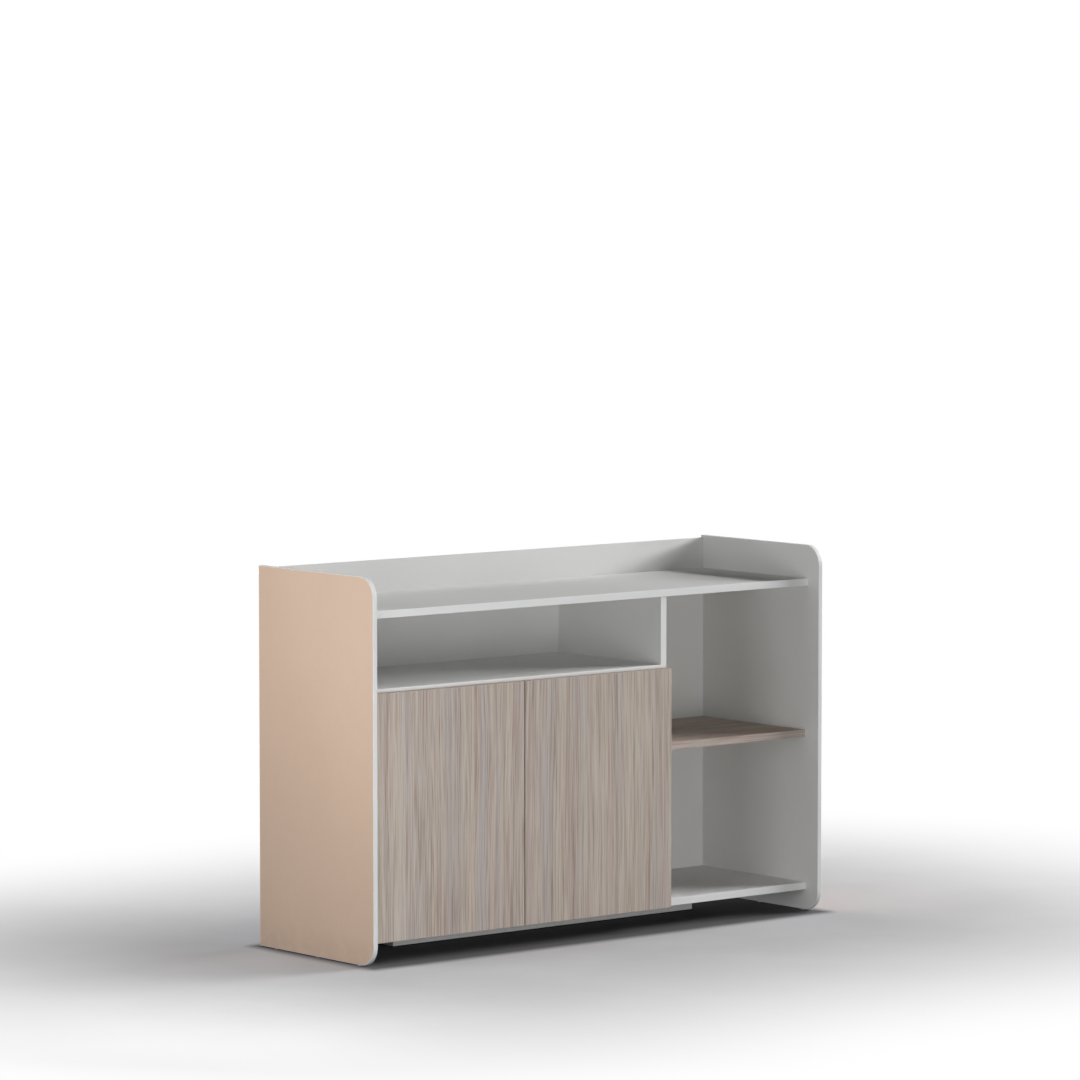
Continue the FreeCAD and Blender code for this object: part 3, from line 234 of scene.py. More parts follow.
def seen_directly(tree):
    """1 for the camera's, glossy and transmission rays, and 0 for the rays that only carry light."""
    path = tree.nodes.new("ShaderNodeLightPath")
    seen = path.outputs["Is Camera Ray"]
    for kind in ("Is Glossy Ray", "Is Transmission Ray"):
        either = tree.nodes.new("ShaderNodeMath")
        either.operation = "MAXIMUM"
        tree.links.new(seen, either.inputs[0])
        tree.links.new(path.outputs[kind], either.inputs[1])
        seen = either.outputs[0]
    return seen


def mix_shaders(tree, factor, first, second):
    made = tree.nodes.new("ShaderNodeMixShader")
    for socket, link in zip(made.inputs, (factor, first, second)):
        tree.links.new(link, socket)
    return made.outputs[0]


def plain_white(tree, kind, strength):
    """An even white, as an emission or a background."""
    made = tree.nodes.new(kind)
    made.inputs["Color"].default_value = (1.0, 1.0, 1.0, 1.0)
    made.inputs["Strength"].default_value = strength
    return made.outputs[0]


# ---------------------------------------------------------------- board finishes

BAND = 0.0010        # thickness of the edge tape
SEAM = 0.00016       # half width of the hairline beside it


def board_zones(finish, node, axis):
    """What of a board is its face, and how far each point is from the board's outer rim.

    Returns (1 on the two faces and 0 on edges and in holes, distance from the rim in metres)."""
    low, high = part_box(node)
    normal = finish.split(finish.facing)
    position = finish.split(finish.place)
    turned = finish.math("ABSOLUTE", normal[axis])
    face = finish.math("GREATER_THAN", turned, 0.6)
    nearest = None
    for other in range(3):
        if other == axis:
            continue
        for distance in (finish.less(position[other], low[other]), finish.less(high[other], position[other])):
            nearest = distance if nearest is None else finish.math("MINIMUM", nearest, distance)
    return face, nearest


def chipboard(finish):
    """The core that shows inside drilled holes: pressed chips in a brown binder."""
    chips = finish.cells(finish.stretch(finish.place, (520.0, 520.0, 820.0)), output="Color")
    tone = finish.split(chips)[0]
    chip = finish.ramp(tone, [
        (0.0, linear(121, 92, 62)),
        (0.35, linear(160, 127, 88)),
        (0.7, linear(186, 156, 114)),
        (1.0, linear(205, 180, 142)),
    ])
    gaps = finish.cells(finish.place, 700.0)
    return finish.mix(finish.span(gaps, 0.5, 0.9), chip, linear(84, 62, 42))


def band_seam(finish, face, rim):
    """The hairline where the edge tape meets the face: 1 on the line, 0 elsewhere."""
    off = finish.math("ABSOLUTE", finish.less(rim, BAND))
    line = finish.span(off, SEAM * 0.4, SEAM, 1.0, 0.0)
    return finish.times(line, face)


def white_board(node, axis):
    """Melamine-faced board: off-white grained faces, taped edges and a chipboard core in its holes."""
    finish = Finish(f"white_board_{node}")
    finish.dull_at_a_slant(0.25)
    face, rim = board_zones(finish, node, axis)
    cloud = finish.noise(finish.place, 2.4, 3.0, 0.55)
    speck = finish.noise(finish.place, 1500.0, 1.0, 0.5)
    fibre = finish.noise(finish.place, 55.0, 3.0, 0.6)
    colour = finish.mix(finish.span(cloud, 0.3, 0.7), linear(228, 228, 226), linear(231, 231, 230))
    colour = finish.mix(finish.span(fibre, 0.45, 0.75, 0.0, 0.05), colour, linear(217, 216, 212))
    colour = finish.mix(finish.span(speck, 0.62, 0.78, 0.0, 0.10), colour, linear(212, 211, 207))
    # The edge tape is lighter than the faces: partly its own whiter colour, partly a painted highlight on the
    # board's edges.
    tape = finish.mix(finish.span(cloud, 0.35, 0.65), linear(240, 241, 241), linear(243, 244, 244))
    taped = finish.math("LESS_THAN", rim, BAND)
    surfaced = finish.math("MAXIMUM", face, taped)
    colour = finish.mix(face, finish.mix(taped, chipboard(finish), tape), colour)
    colour = finish.mix(finish.times(band_seam(finish, face, rim), 0.5), colour, linear(172, 168, 160))
    handled = finish.noise(finish.place, 14.0, 4.0, 0.65, 0.6)
    near_rim = finish.span(rim, 0.0, 0.004, 1.0, 0.0)
    worn = finish.times(near_rim, finish.span(handled, 0.50, 0.70, 0.0, 0.22))
    colour = finish.mix(finish.times(worn, face), colour, linear(218, 216, 211))
    pearl = finish.noise(finish.place, 950.0, 2.0, 0.6)
    swell = finish.noise(finish.place, 60.0, 2.0, 0.5)
    roughness = finish.span(handled, 0.3, 0.75, 0.50, 0.60)
    roughness = finish.add(roughness, finish.span(pearl, 0.3, 0.7, -0.03, 0.03))
    roughness = finish.mix_value(surfaced, 0.92, roughness)
    normal = finish.bump(pearl, 0.00004, 0.45)
    normal = finish.bump(swell, 0.00010, 0.10, normal)
    rough_core = finish.times(finish.cells(finish.place, 620.0), finish.less(1.0, surfaced))
    normal = finish.bump(rough_core, 0.0004, 0.8, normal)
    return finish.done(colour, roughness, normal)


def white_edging():
    """Plastic edging of the end panels: a cooler white, scraped lengthways, with a satin shine."""
    finish = Finish("white_edging")
    finish.dull_at_a_slant(0.35)
    cloud = finish.noise(finish.place, 5.0, 2.0)
    colour = finish.mix(finish.span(cloud, 0.3, 0.7), linear(233, 234, 235), linear(239, 240, 241))
    scrape = finish.noise(finish.stretch(finish.place, (2600.0, 26.0, 26.0)), 1.0, 2.0, 0.6)
    chatter = finish.noise(finish.stretch(finish.place, (9.0, 420.0, 420.0)), 1.0, 1.0)
    handled = finish.noise(finish.place, 22.0, 4.0, 0.6, 0.4)
    colour = finish.mix(finish.span(handled, 0.52, 0.72, 0.0, 0.12), colour, linear(222, 221, 218))
    colour = finish.mix(finish.span(scrape, 0.55, 0.8, 0.0, 0.12), colour, linear(216, 217, 219))
    roughness = finish.span(handled, 0.3, 0.7, 0.30, 0.42)
    normal = finish.bump(scrape, 0.00003, 0.5)
    normal = finish.bump(chatter, 0.00005, 0.25, normal)
    return finish.done(colour, roughness, normal, coat=0.04, coat_roughness=0.3)


def tan_laminate():
    """Warm tan laminate with a fine satin grain, a little darker towards the floor."""
    finish = Finish("tan_laminate")
    finish.dull_at_a_slant(0.2)
    up = finish.split(finish.place)[2]
    cloud = finish.noise(finish.place, 1.7, 3.0, 0.5)
    mottle = finish.noise(finish.place, 38.0, 3.0, 0.6)
    colour = finish.mix(finish.span(cloud, 0.3, 0.7), linear(214, 187, 166), linear(219, 193, 172))
    colour = finish.mix(finish.span(mottle, 0.4, 0.7, 0.0, 0.10), colour, linear(203, 176, 155))
    grit = finish.cells(finish.place, 1150.0)
    colour = finish.mix(finish.span(grit, 0.55, 0.95, 0.0, 0.20), colour, linear(188, 160, 139))
    pale = finish.noise(finish.place, 1900.0, 1.0)
    colour = finish.mix(finish.span(pale, 0.62, 0.8, 0.0, 0.22), colour, linear(232, 212, 196))
    # Darker towards the floor, in mottled patches over the lowest 9 cm.
    low = finish.span(up, 0.004, 0.09, 1.0, 0.0)
    darker_low = finish.times(low, finish.span(mottle, 0.3, 0.6, 0.05, 0.22))
    colour = finish.mix(darker_low, colour, linear(178, 158, 144))
    handled = finish.noise(finish.place, 11.0, 4.0, 0.6, 0.5)
    roughness = finish.span(handled, 0.3, 0.7, 0.42, 0.52)
    grain = finish.noise(finish.place, 1250.0, 2.0, 0.6)
    normal = finish.bump(grain, 0.00005, 0.5)
    return finish.done(colour, roughness, normal)


def wood_streaks(finish, across, along, shift):
    """Greyed oak print: fine, nearly straight streaks in soft bands that change hue.

    Returns (colour, pores, finest streaks)."""
    # Two wanders of the lines: noise cells a metre across and along the grain, and the sway in metres.
    bent = across
    for a_metre_across, a_metre_along, sway in ((5.0, 1.3, 0.030), (42.0, 7.0, 0.0018)):
        spot = finish.join(finish.times(across, a_metre_across), finish.times(along, a_metre_along), shift)
        wander = finish.less(finish.noise(spot, 1.0, 2.0, 0.5), 0.5)
        bent = finish.add(bent, finish.times(wander, sway))

    def lines(pitch, length, seed, detail, rough=0.55):
        """Streaks that are pitch wide across the grain and length long, both in metres."""
        spot = finish.join(
            finish.times(bent, 1.0 / pitch), finish.times(along, 1.0 / length), finish.add(shift, seed)
        )
        return finish.noise(spot, 1.0, detail, rough)

    def streak(colour, value, low, high, most, tone):
        """The colour turned towards tone, by most of it where value reaches high."""
        return finish.mix(finish.span(value, low, high, 0.0, most), colour, linear(*tone))

    broad = lines(0.044, 1.6, 3.1, 1.0)
    pink = lines(0.026, 1.1, 31.7, 2.0)
    middle = lines(0.013, 0.80, 7.7, 2.0)
    narrow = lines(0.0056, 0.36, 13.3, 1.0)
    fine = lines(0.0029, 0.17, 19.9, 1.0, 0.6)
    hair = lines(0.0009, 0.06, 27.1, 1.0)

    colour = streak(linear(200, 188, 175), broad, 0.36, 0.64, 1.0, (187, 179, 176))
    colour = streak(colour, pink, 0.47, 0.63, 0.60, (196, 175, 164))
    colour = streak(colour, middle, 0.52, 0.66, 0.30, (177, 165, 153))
    colour = streak(colour, middle, 0.46, 0.34, 0.24, (208, 198, 188))
    colour = streak(colour, narrow, 0.52, 0.63, 0.44, (170, 152, 140))
    colour = streak(colour, narrow, 0.46, 0.35, 0.36, (210, 200, 190))
    colour = streak(colour, fine, 0.53, 0.64, 0.46, (160, 142, 130))
    colour = streak(colour, fine, 0.45, 0.35, 0.34, (212, 203, 195))
    deep_line = finish.times(finish.span(middle, 0.50, 0.60), finish.span(fine, 0.48, 0.58))
    colour = finish.mix(finish.times(deep_line, 0.34), colour, linear(146, 120, 107))
    pores = finish.span(hair, 0.60, 0.74)
    colour = finish.mix(finish.times(pores, 0.26), colour, linear(136, 120, 108))
    return colour, pores, fine


def wood_board(name, upright, node, shift):
    """Wood-look laminate with its edging. The grain runs upright on a door and lengthways on a shelf."""
    finish = Finish(name)
    finish.dull_at_a_slant(0.25)
    x, y, z = finish.split(finish.place)
    facing = finish.split(finish.facing)
    if upright:
        top = finish.math("GREATER_THAN", finish.math("ABSOLUTE", facing[2]), 0.7)
        across = finish.mix_value(top, finish.add(x, y), y)
        along = finish.mix_value(top, z, x)
        axis = 1
    else:
        across = finish.add(y, z)
        along = x
        axis = 2
    face, rim = board_zones(finish, node, axis)
    colour, pores, fine = wood_streaks(finish, across, along, shift)
    taped = finish.math("LESS_THAN", rim, BAND)
    colour = finish.mix(finish.math("MAXIMUM", face, taped), chipboard(finish), colour)
    colour = finish.mix(finish.times(band_seam(finish, face, rim), 0.55), colour, linear(108, 97, 88))
    handled = finish.noise(finish.place, 9.0, 4.0, 0.6, 0.5)
    near_rim = finish.span(rim, 0.0, 0.003, 1.0, 0.0)
    worn = finish.times(near_rim, finish.span(handled, 0.45, 0.62, 0.0, 0.45))
    colour = finish.mix(worn, colour, linear(184, 176, 167))
    roughness = finish.span(handled, 0.3, 0.7, 0.46, 0.56)
    roughness = finish.add(roughness, finish.times(pores, 0.12))
    normal = finish.bump(finish.less(1.0, pores), 0.00009, 0.6)
    normal = finish.bump(fine, 0.00006, 0.35, normal)
    return finish.done(colour, roughness, normal)


def plinth_board():
    """Off-white laminate rails, finely brushed lengthways and scuffed near the floor."""
    finish = Finish("plinth_board")
    finish.dull_at_a_slant(0.25)
    up = finish.split(finish.place)[2]
    brushed = finish.noise(finish.stretch(finish.place, (6.0, 6.0, 900.0)), 1.0, 2.0, 0.6)
    cloud = finish.noise(finish.place, 7.0, 3.0)
    colour = finish.mix(finish.span(cloud, 0.3, 0.7), linear(226, 227, 225), linear(231, 231, 230))
    colour = finish.mix(finish.span(brushed, 0.5, 0.75, 0.0, 0.25), colour, linear(214, 215, 213))
    scuff = finish.noise(finish.place, 60.0, 5.0, 0.7, 1.2)
    low = finish.span(up, 0.003, 0.020, 1.0, 0.1)
    scuffed = finish.times(finish.span(scuff, 0.56, 0.66, 0.0, 0.4), low)
    colour = finish.mix(scuffed, colour, linear(186, 182, 175))
    roughness = finish.span(cloud, 0.3, 0.7, 0.42, 0.54)
    normal = finish.bump(brushed, 0.00004, 0.5)
    return finish.done(colour, roughness, normal)


def beech():
    """Plain turned beech with short dark flecks."""
    finish = Finish("beech")
    grain = finish.noise(finish.stretch(finish.place, (60.0, 900.0, 900.0)), 1.0, 3.0, 0.6)
    fleck = finish.noise(finish.stretch(finish.place, (350.0, 2400.0, 2400.0)), 1.0, 1.0)
    colour = finish.mix(finish.span(grain, 0.3, 0.7), linear(214, 178, 134), linear(196, 156, 112))
    colour = finish.mix(finish.span(fleck, 0.6, 0.75, 0.0, 0.6), colour, linear(158, 116, 78))
    roughness = finish.span(grain, 0.3, 0.7, 0.6, 0.75)
    return finish.done(colour, roughness, finish.bump(grain, 0.0001, 0.5))


DRAWN = (900.0, 900.0, 60.0)
CAST = (700.0, 700.0, 700.0)


def metal(name, bright, dark, rough_low, rough_high, grain=DRAWN, depth=0.00003, tint=None):
    """Plated or cast metal: drawn grain, uneven shine, and duller hollows."""
    finish = Finish(name, metallic=1.0)
    cloud = finish.noise(finish.place, 45.0, 4.0, 0.6, 0.4)
    drawn = finish.noise(finish.stretch(finish.place, grain), 1.0, 3.0, 0.6)
    pits = finish.cells(finish.place, 1600.0)
    colour = finish.mix(finish.span(cloud, 0.3, 0.7), bright, dark)
    if tint is not None:
        stain = finish.noise(finish.place, 130.0, 2.0, 0.5, 0.8)
        colour = finish.mix(finish.span(stain, 0.45, 0.65, 0.0, 0.7), colour, tint)
    colour = finish.mix(finish.span(pits, 0.55, 0.9, 0.0, 0.25), colour, dark)
    roughness = finish.span(cloud, 0.3, 0.7, rough_low, rough_high)
    roughness = finish.add(roughness, finish.span(drawn, 0.3, 0.7, -0.04, 0.06))
    normal = finish.bump(drawn, depth, 0.6)
    normal = finish.bump(pits, depth, 0.3, normal)
    return finish.done(colour, roughness, normal)


def moulded(name, light, dark, rough_low, rough_high):
    """Moulded nylon: spark-eroded grain, slight flow marks and handling shine."""
    finish = Finish(name)
    flow = finish.noise(finish.stretch(finish.place, (70.0, 24.0, 70.0)), 1.0, 3.0, 0.5, 0.8)
    spark = finish.noise(finish.place, 1900.0, 2.0, 0.6)
    colour = finish.mix(finish.span(flow, 0.3, 0.7), light, dark)
    colour = finish.mix(finish.span(spark, 0.6, 0.8, 0.0, 0.2), colour, dark)
    roughness = finish.span(flow, 0.3, 0.7, rough_low, rough_high)
    normal = finish.bump(spark, 0.00006, 0.5)
    return finish.done(colour, roughness, normal)


hinge_steel = metal("hinge_steel", linear(214, 212, 207), linear(186, 184, 179), 0.24, 0.36)
cam_zinc = metal("cam_zinc", linear(196, 198, 202), linear(160, 162, 166), 0.40, 0.55, CAST, 0.00008)
yellowed = linear(214, 205, 176)
screw_steel = metal("screw_steel", linear(212, 214, 220), linear(178, 181, 190), 0.26, 0.40, tint=yellowed)
pin_steel = metal("pin_steel", linear(218, 216, 211), linear(190, 188, 184), 0.22, 0.34)
spring_steel = metal("spring_steel", linear(182, 182, 186), linear(140, 140, 146), 0.30, 0.42)
latch_plastic = moulded("latch_plastic", linear(208, 208, 205), linear(194, 194, 190), 0.38, 0.50)
foot_plastic = moulded("foot_plastic", linear(38, 38, 39), linear(27, 27, 28), 0.42, 0.56)
edging = white_edging()
laminate = tan_laminate()
plinth_white = plinth_board()
beech_wood = beech()

# ---------------------------------------------------------------- finishes on the CAD nodes


def dress(name, material):
    slots = frame["nodes"][name].data.materials
    slots.clear()
    slots.append(material)


# Each white board, and the axis that its faces look along.
BOARDS = {
    "left_end_panel": 0, "right_end_panel": 0, "partition": 0,
    "back_panel": 1,
    "worktop": 2, "niche_shelf": 2, "bottom_board": 2, "cupboard_shelf": 2,
}
for node, axis in BOARDS.items():
    dress(node, white_board(node, axis))

dress("left_door", wood_board("wood_look_left_door", True, "left_door", 0.0))
dress("right_door", wood_board("wood_look_right_door", True, "right_door", 2.35))
dress("bay_shelf", wood_board("wood_look_bay_shelf", False, "bay_shelf", 5.8))

for node in frame["nodes"]:
    if node.endswith("_end_edging"):
        dress(node, edging)
    elif node.endswith("_end_laminate"):
        dress(node, laminate)
    elif node.startswith("plinth_") and node.endswith("_rail"):
        dress(node, plinth_white)
    elif node in ("plinth_corner_blocks", "dowels"):
        dress(node, beech_wood)
    elif node == "cam_locks":
        dress(node, cam_zinc)
    elif node.endswith(("_hinge_arms", "_hinge_cups", "_hinge_links", "_hinge_plates", "_strike_plate")):
        dress(node, hinge_steel)
    elif node.endswith(("screws", "cam_bolts")):
        dress(node, screw_steel)
    elif node.endswith("shelf_pins"):
        dress(node, pin_steel)
    elif node.endswith(("_latch_housing", "_latch_plunger", "end_panel_glides")):
        dress(node, latch_plastic)
    elif node.endswith("_latch_spring"):
        dress(node, spring_steel)
    elif node.endswith("_foot"):
        dress(node, foot_plastic)

# ---------------------------------------------------------------- mesh writing

SHARP_ANGLE = 35          # degrees between two faces that leave an arris sharp
WELD = 1e-6               # points closer than this are one point
LEVEL_SLACK = 2e-5        # points this close to a level lie on it
LEAST_HEAD = 1e-4         # a screw's head is higher than this


def piece_from(name, build, *materials):
    """A mesh object whose geometry build(bm) draws, shaded smooth with sharp arrises kept."""
    mesh = bpy.data.meshes.new(name)
    bm = bmesh.new()
    build(bm)
    bmesh.ops.recalc_face_normals(bm, faces=bm.faces)
    bm.to_mesh(mesh)
    bm.free()
    piece = bpy.data.objects.new(name, mesh)
    bpy.context.scene.collection.objects.link(piece)
    for material in materials:
        mesh.materials.append(material)
    mesh.polygons.foreach_set("use_smooth", [True] * len(mesh.polygons))
    mesh.set_sharp_from_angle(angle=math.radians(SHARP_ANGLE))
    mesh.update()
    return piece


def ring(bm, place, radius, height, count):
    """count vertices round the local Z axis. radius may be a function of the angle."""
    made = []
    for index in range(count):
        angle = 2 * math.pi * index / count
        reach = radius(angle) if callable(radius) else radius
        point = Vector((reach * math.cos(angle), reach * math.sin(angle), height))
        made.append(bm.verts.new(place @ point))
    return made


def outline_ring(bm, place, points, height):
    """A vertex for each point (x, y), at that height along the local Z axis."""
    return [bm.verts.new(place @ Vector((x, y, height))) for x, y in points]


def skin(bm, lower, upper, material=0):
    """Faces between two rings with the same number of vertices."""
    count = len(lower)
    for index in range(count):
        after = (index + 1) % count
        face = bm.faces.new((lower[index], lower[after], upper[after], upper[index]))
        face.material_index = material


def cap(bm, loop, place, height, material=0):
    """A fan of faces from a ring to a point on the local Z axis."""
    middle = bm.verts.new(place @ Vector((0, 0, height)))
    for index in range(len(loop)):
        face = bm.faces.new((loop[index], loop[(index + 1) % len(loop)], middle))
        face.material_index = material


def cross_points(reach, half):
    """A cross of arms with that reach and half width, as 24 points in angular order."""
    middle = (reach + half) / 2
    quarter = [(reach, 0), (reach, half), (middle, half), (half, half), (half, middle), (half, reach)]
    points = []
    for turn in range(4):
        for x, y in quarter:
            for _ in range(turn):
                x, y = -y, x
            points.append((x, y))
    return points


def hexagon_points(reach):
    """A hexagon with that corner distance, as 24 points in angular order."""
    turns = [math.pi / 3 * corner for corner in range(7)]
    corners = [(reach * math.cos(turn), reach * math.sin(turn)) for turn in turns]
    points = []
    for first, second in zip(corners, corners[1:]):
        for step in range(4):
            points.append(tuple(a + (b - a) * step / 4 for a, b in zip(first, second)))
    return points


def thread(crest, root, turns, sharpness):
    """The radius round a screw, as a function of the angle, where the thread has made that many turns."""
    def radius(angle):
        phase = (turns - angle / (2 * math.pi)) % 1.0
        return root + (crest - root) * max(0.0, 1 - abs(phase - 0.5) * sharpness)
    return radius


# Each drive: the recess's outline, its sizes at the rim and at the bottom as shares of the head's
# radius, and its depth as a share of the head's height.
DRIVES = {
    "cross": (cross_points, (0.60, 0.16), (0.34, 0.10), 0.80),
    "hexagon": (hexagon_points, (0.52,), (0.50,), 0.75),
}
RIM_DROP = 0.02           # the recess's rim lies this share of the head's height below its top
DRILL_POINT = 1.08        # how much deeper the middle of the recess is than its sides

# Rings of a screw's head from its drive outwards: share of the radius, and share of the head's height.
HEAD_RINGS = ((0.76, 0.03), (0.90, 0.12), (0.98, 0.28), (1.0, 0.45), (1.0, 1.0))
SCREW_CORNERS = 24
SCREW_ROOT = 0.80         # the thread's root, as a share of the shank's radius
SCREW_PITCH = 0.4         # as a share of the shank's diameter, but at least this:
LEAST_PITCH = 0.0012
SCREW_TIP = 1.1           # the tip's length, as a share of the shank's diameter
SCREW_SHARPNESS = 5
SCREW_TURN_RINGS = 4      # rings for each turn of the thread
LEAST_RINGS = 6
SPIN_FIRST, SPIN_STEP = 0.31, 0.7     # how far the screws of a node are turned, in radians


def draw_screw(bm, place, head, head_height, shank, length, drive):
    """A screw along local +Z, its head's top at 0: domed head with a recess, threaded shank, pointed tip."""
    radius = head / 2
    root = shank / 2 * SCREW_ROOT
    outline, wide, narrow, depth_share = DRIVES[drive]
    bottom = head_height * depth_share
    well = outline_ring(bm, place, outline(*(radius * share for share in narrow)), bottom)
    cap(bm, well, place, bottom * DRILL_POINT)
    last = outline_ring(bm, place, outline(*(radius * share for share in wide)), RIM_DROP * head_height)
    skin(bm, well, last)

    def go_on(reach, height):
        nonlocal last
        here = ring(bm, place, reach, height, SCREW_CORNERS)
        skin(bm, last, here)
        last = here

    for share, drop in HEAD_RINGS:
        go_on(radius * share, head_height * drop)
    go_on(root, head_height)
    pitch = max(LEAST_PITCH, shank * SCREW_PITCH)
    tip = shank * SCREW_TIP
    steps = max(LEAST_RINGS, int((length - tip) / pitch * SCREW_TURN_RINGS))
    for index in range(1, steps + 1):
        depth = head_height + (length - tip) * index / steps
        go_on(thread(shank / 2, root, depth / pitch, SCREW_SHARPNESS), depth)
    go_on(root * 0.5, head_height + length - tip * 0.4)
    cap(bm, last, place, head_height + length)


def islands(node):
    """The separate solids of a CAD node, each as its list of points."""
    bm = bmesh.new()
    bm.from_mesh(frame["nodes"][node].data)
    bmesh.ops.remove_doubles(bm, verts=bm.verts, dist=WELD)
    left = set(bm.verts)
    found = []
    while left:
        stack = [left.pop()]
        points = []
        while stack:
            vertex = stack.pop()
            points.append(vertex.co.copy())
            for edge in vertex.link_edges:
                other = edge.other_vert(vertex)
                if other in left:
                    left.remove(other)
                    stack.append(other)
        found.append(points)
    bm.free()
    found.sort(key=lambda points: tuple(round(min(p[k] for p in points), 5) for k in range(3)))
    return found


def rod_frame(points):
    """Where a headed rod stands, and its size.

    Returns (matrix with local +Z from the head's top to the tip, head, head height, shank, length)."""
    low = Vector(min(p[k] for p in points) for k in range(3))
    high = Vector(max(p[k] for p in points) for k in range(3))
    size = high - low
    axis = max(range(3), key=lambda k: size[k])
    middle = (low + high) / 2
    others = [k for k in range(3) if k != axis]

    def reach(level):
        near = [p - middle for p in points if abs(p[axis] - level) < LEVEL_SLACK]
        return max(math.hypot(p[others[0]], p[others[1]]) for p in near)

    head_low = reach(low[axis]) > reach(high[axis])
    start, end = (low[axis], high[axis]) if head_low else (high[axis], low[axis])
    head = 2 * reach(start)
    shank = 2 * reach(end)
    levels = sorted({round(abs(p[axis] - start), 6) for p in points})
    head_height = next(level for level in levels if level > LEAST_HEAD)
    direction = Vector((0, 0, 0))
    direction[axis] = 1 if head_low else -1
    origin = middle.copy()
    origin[axis] = start
    turn = direction.to_track_quat("Z", "Y").to_matrix().to_4x4()
    return Matrix.Translation(origin) @ turn, head, head_height, shank, abs(end - start) - head_height


def screws_for(node, drive="cross"):
    """Detailed screws that stand for the CAD node's plain ones."""
    places = [rod_frame(points) for points in islands(node)]

    def build(bm):
        for index, (place, head, head_height, shank, length) in enumerate(places):
            spin = Matrix.Rotation(SPIN_STEP * index + SPIN_FIRST, 4, "Z")
            draw_screw(bm, place @ spin, head, head_height, shank, length, drive)

    piece = piece_from(f"{node}_detailed", build, screw_steel)
    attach(piece, frame["nodes"][node]["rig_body"])
    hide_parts(node)


for node in ("back_screws", "latch_screws"):
    screws_for(node)
screws_for("partition_screws", "hexagon")
for side in ("left", "right"):
    screws_for(f"{side}_hinge_cup_screws")
    screws_for(f"{side}_hinge_plate_screws")

# ---------------------------------------------------------------- latch springs

SPRING_PITCH = 0.0022
WIRE = 0.0008             # diameter
WIRE_CORNERS = 8
COIL_STEPS = 20           # rings for each turn of the coil


def spring_for(side):
    """The latch's coil spring, between the housing and the plunger."""
    node = f"{side}_latch_spring"
    low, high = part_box(node)
    middle = (low + high) / 2
    radius = (high.x - low.x) / 2 - WIRE / 2
    start, end = low.y + WIRE / 2, high.y - WIRE / 2
    turns = (end - start) / SPRING_PITCH
    steps = int(turns * COIL_STEPS)

    def build(bm):
        last = None
        first = None
        for index in range(steps + 1):
            share = index / steps
            angle = 2 * math.pi * turns * share
            outward = Vector((math.cos(angle), 0, math.sin(angle)))
            centre = Vector((middle.x, start + (end - start) * share, middle.z)) + outward * radius
            here = []
            for corner in range(WIRE_CORNERS):
                around = 2 * math.pi * corner / WIRE_CORNERS
                offset = outward * math.cos(around) + Vector((0, 1, 0)) * math.sin(around)
                here.append(bm.verts.new(centre + offset * WIRE / 2))
            if last is not None:
                skin(bm, last, here)
            else:
                first = here
            last = here
        bm.faces.new(list(reversed(first)))
        bm.faces.new(last)

    piece = piece_from(f"{side}_latch_coil", build, spring_steel)
    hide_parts(node)
    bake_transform(piece)


for side in ("left", "right"):
    spring_for(side)

# ---------------------------------------------------------------- levelling feet

# Rings of the pad from its sole to its collar: radius, height, and whether the flutes cut into it.
PAD_RINGS = (
    (0.0112, 0.0002, False), (0.0118, 0.0009, False),
    (0.0120, 0.0014, True), (0.0120, 0.0036, True), (0.0115, 0.0042, True),
    (0.0078, 0.0048, False), (0.0072, 0.0060, False), (0.0042, 0.0060, False), (0.0040, 0.0058, False),
)
PAD_SOLE = 0.0102         # radius
PAD_HOLLOW = 0.0003       # how far the sole's middle is off the floor
PAD_COLLAR = 0.0058       # where the pad ends at the stud
PAD_CORNERS = 72
FLUTES = 18
FLUTE_DEPTH = 0.0005
STUD_RADIUS = 0.004
STUD_FOOT = 0.86          # radius of its lower end, as a share of the stud's
STUD_ROOT = 0.84          # radius of the thread's root, as a share of the stud's
STUD_START = 0.0052       # the stud's lower end, inside the pad
STUD_PITCH = 0.00125
STUD_SHARPNESS = 2
STUD_CORNERS = 18
STUD_CHAMFER = 0.0012
STUD_TURN_RINGS = 5       # rings for each turn of the thread
# Rings of the stud's top, down into its socket: share of the radius, and depth below the top.
STUD_TOP_RINGS = ((0.72, 0.0), (0.45, 0.0), (0.42, 0.0016))
SOCKET_DEPTH = 0.0018
STEEL = 1                 # the stud's place among the piece's two materials


def foot_for(node):
    """A fluted nylon pad on a threaded stud, with a socket for a driver in the stud's top."""
    low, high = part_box(node)
    place = Matrix.Translation(((low.x + high.x) / 2, (low.y + high.y) / 2, 0.0))

    def fluted(reach):
        return lambda angle: reach - FLUTE_DEPTH * (0.5 + 0.5 * math.cos(FLUTES * angle))

    def build(bm):
        last = ring(bm, place, PAD_SOLE, 0.0, PAD_CORNERS)
        cap(bm, last, place, PAD_HOLLOW)
        for reach, height, cut in PAD_RINGS:
            here = ring(bm, place, fluted(reach) if cut else reach, height, PAD_CORNERS)
            skin(bm, last, here)
            last = here
        cap(bm, last, place, PAD_COLLAR)
        last = ring(bm, place, STUD_RADIUS * STUD_FOOT, STUD_START, STUD_CORNERS)
        cap(bm, last, place, STUD_START, STEEL)
        top = high.z - STUD_CHAMFER
        root = STUD_RADIUS * STUD_ROOT
        steps = int((top - STUD_START) / STUD_PITCH * STUD_TURN_RINGS)
        rings = []
        for index in range(1, steps + 1):
            level = STUD_START + (top - STUD_START) * index / steps
            rings.append((thread(STUD_RADIUS, root, level / STUD_PITCH, STUD_SHARPNESS), level))
        for share, drop in STUD_TOP_RINGS:
            rings.append((STUD_RADIUS * share, high.z - drop))
        for reach, height in rings:
            here = ring(bm, place, reach, height, STUD_CORNERS)
            skin(bm, last, here, STEEL)
            last = here
        cap(bm, last, place, high.z - SOCKET_DEPTH, STEEL)

    piece = piece_from(f"{node}_detailed", build, foot_plastic, screw_steel)
    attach(piece, frame["nodes"][node]["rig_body"])
    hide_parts(node)


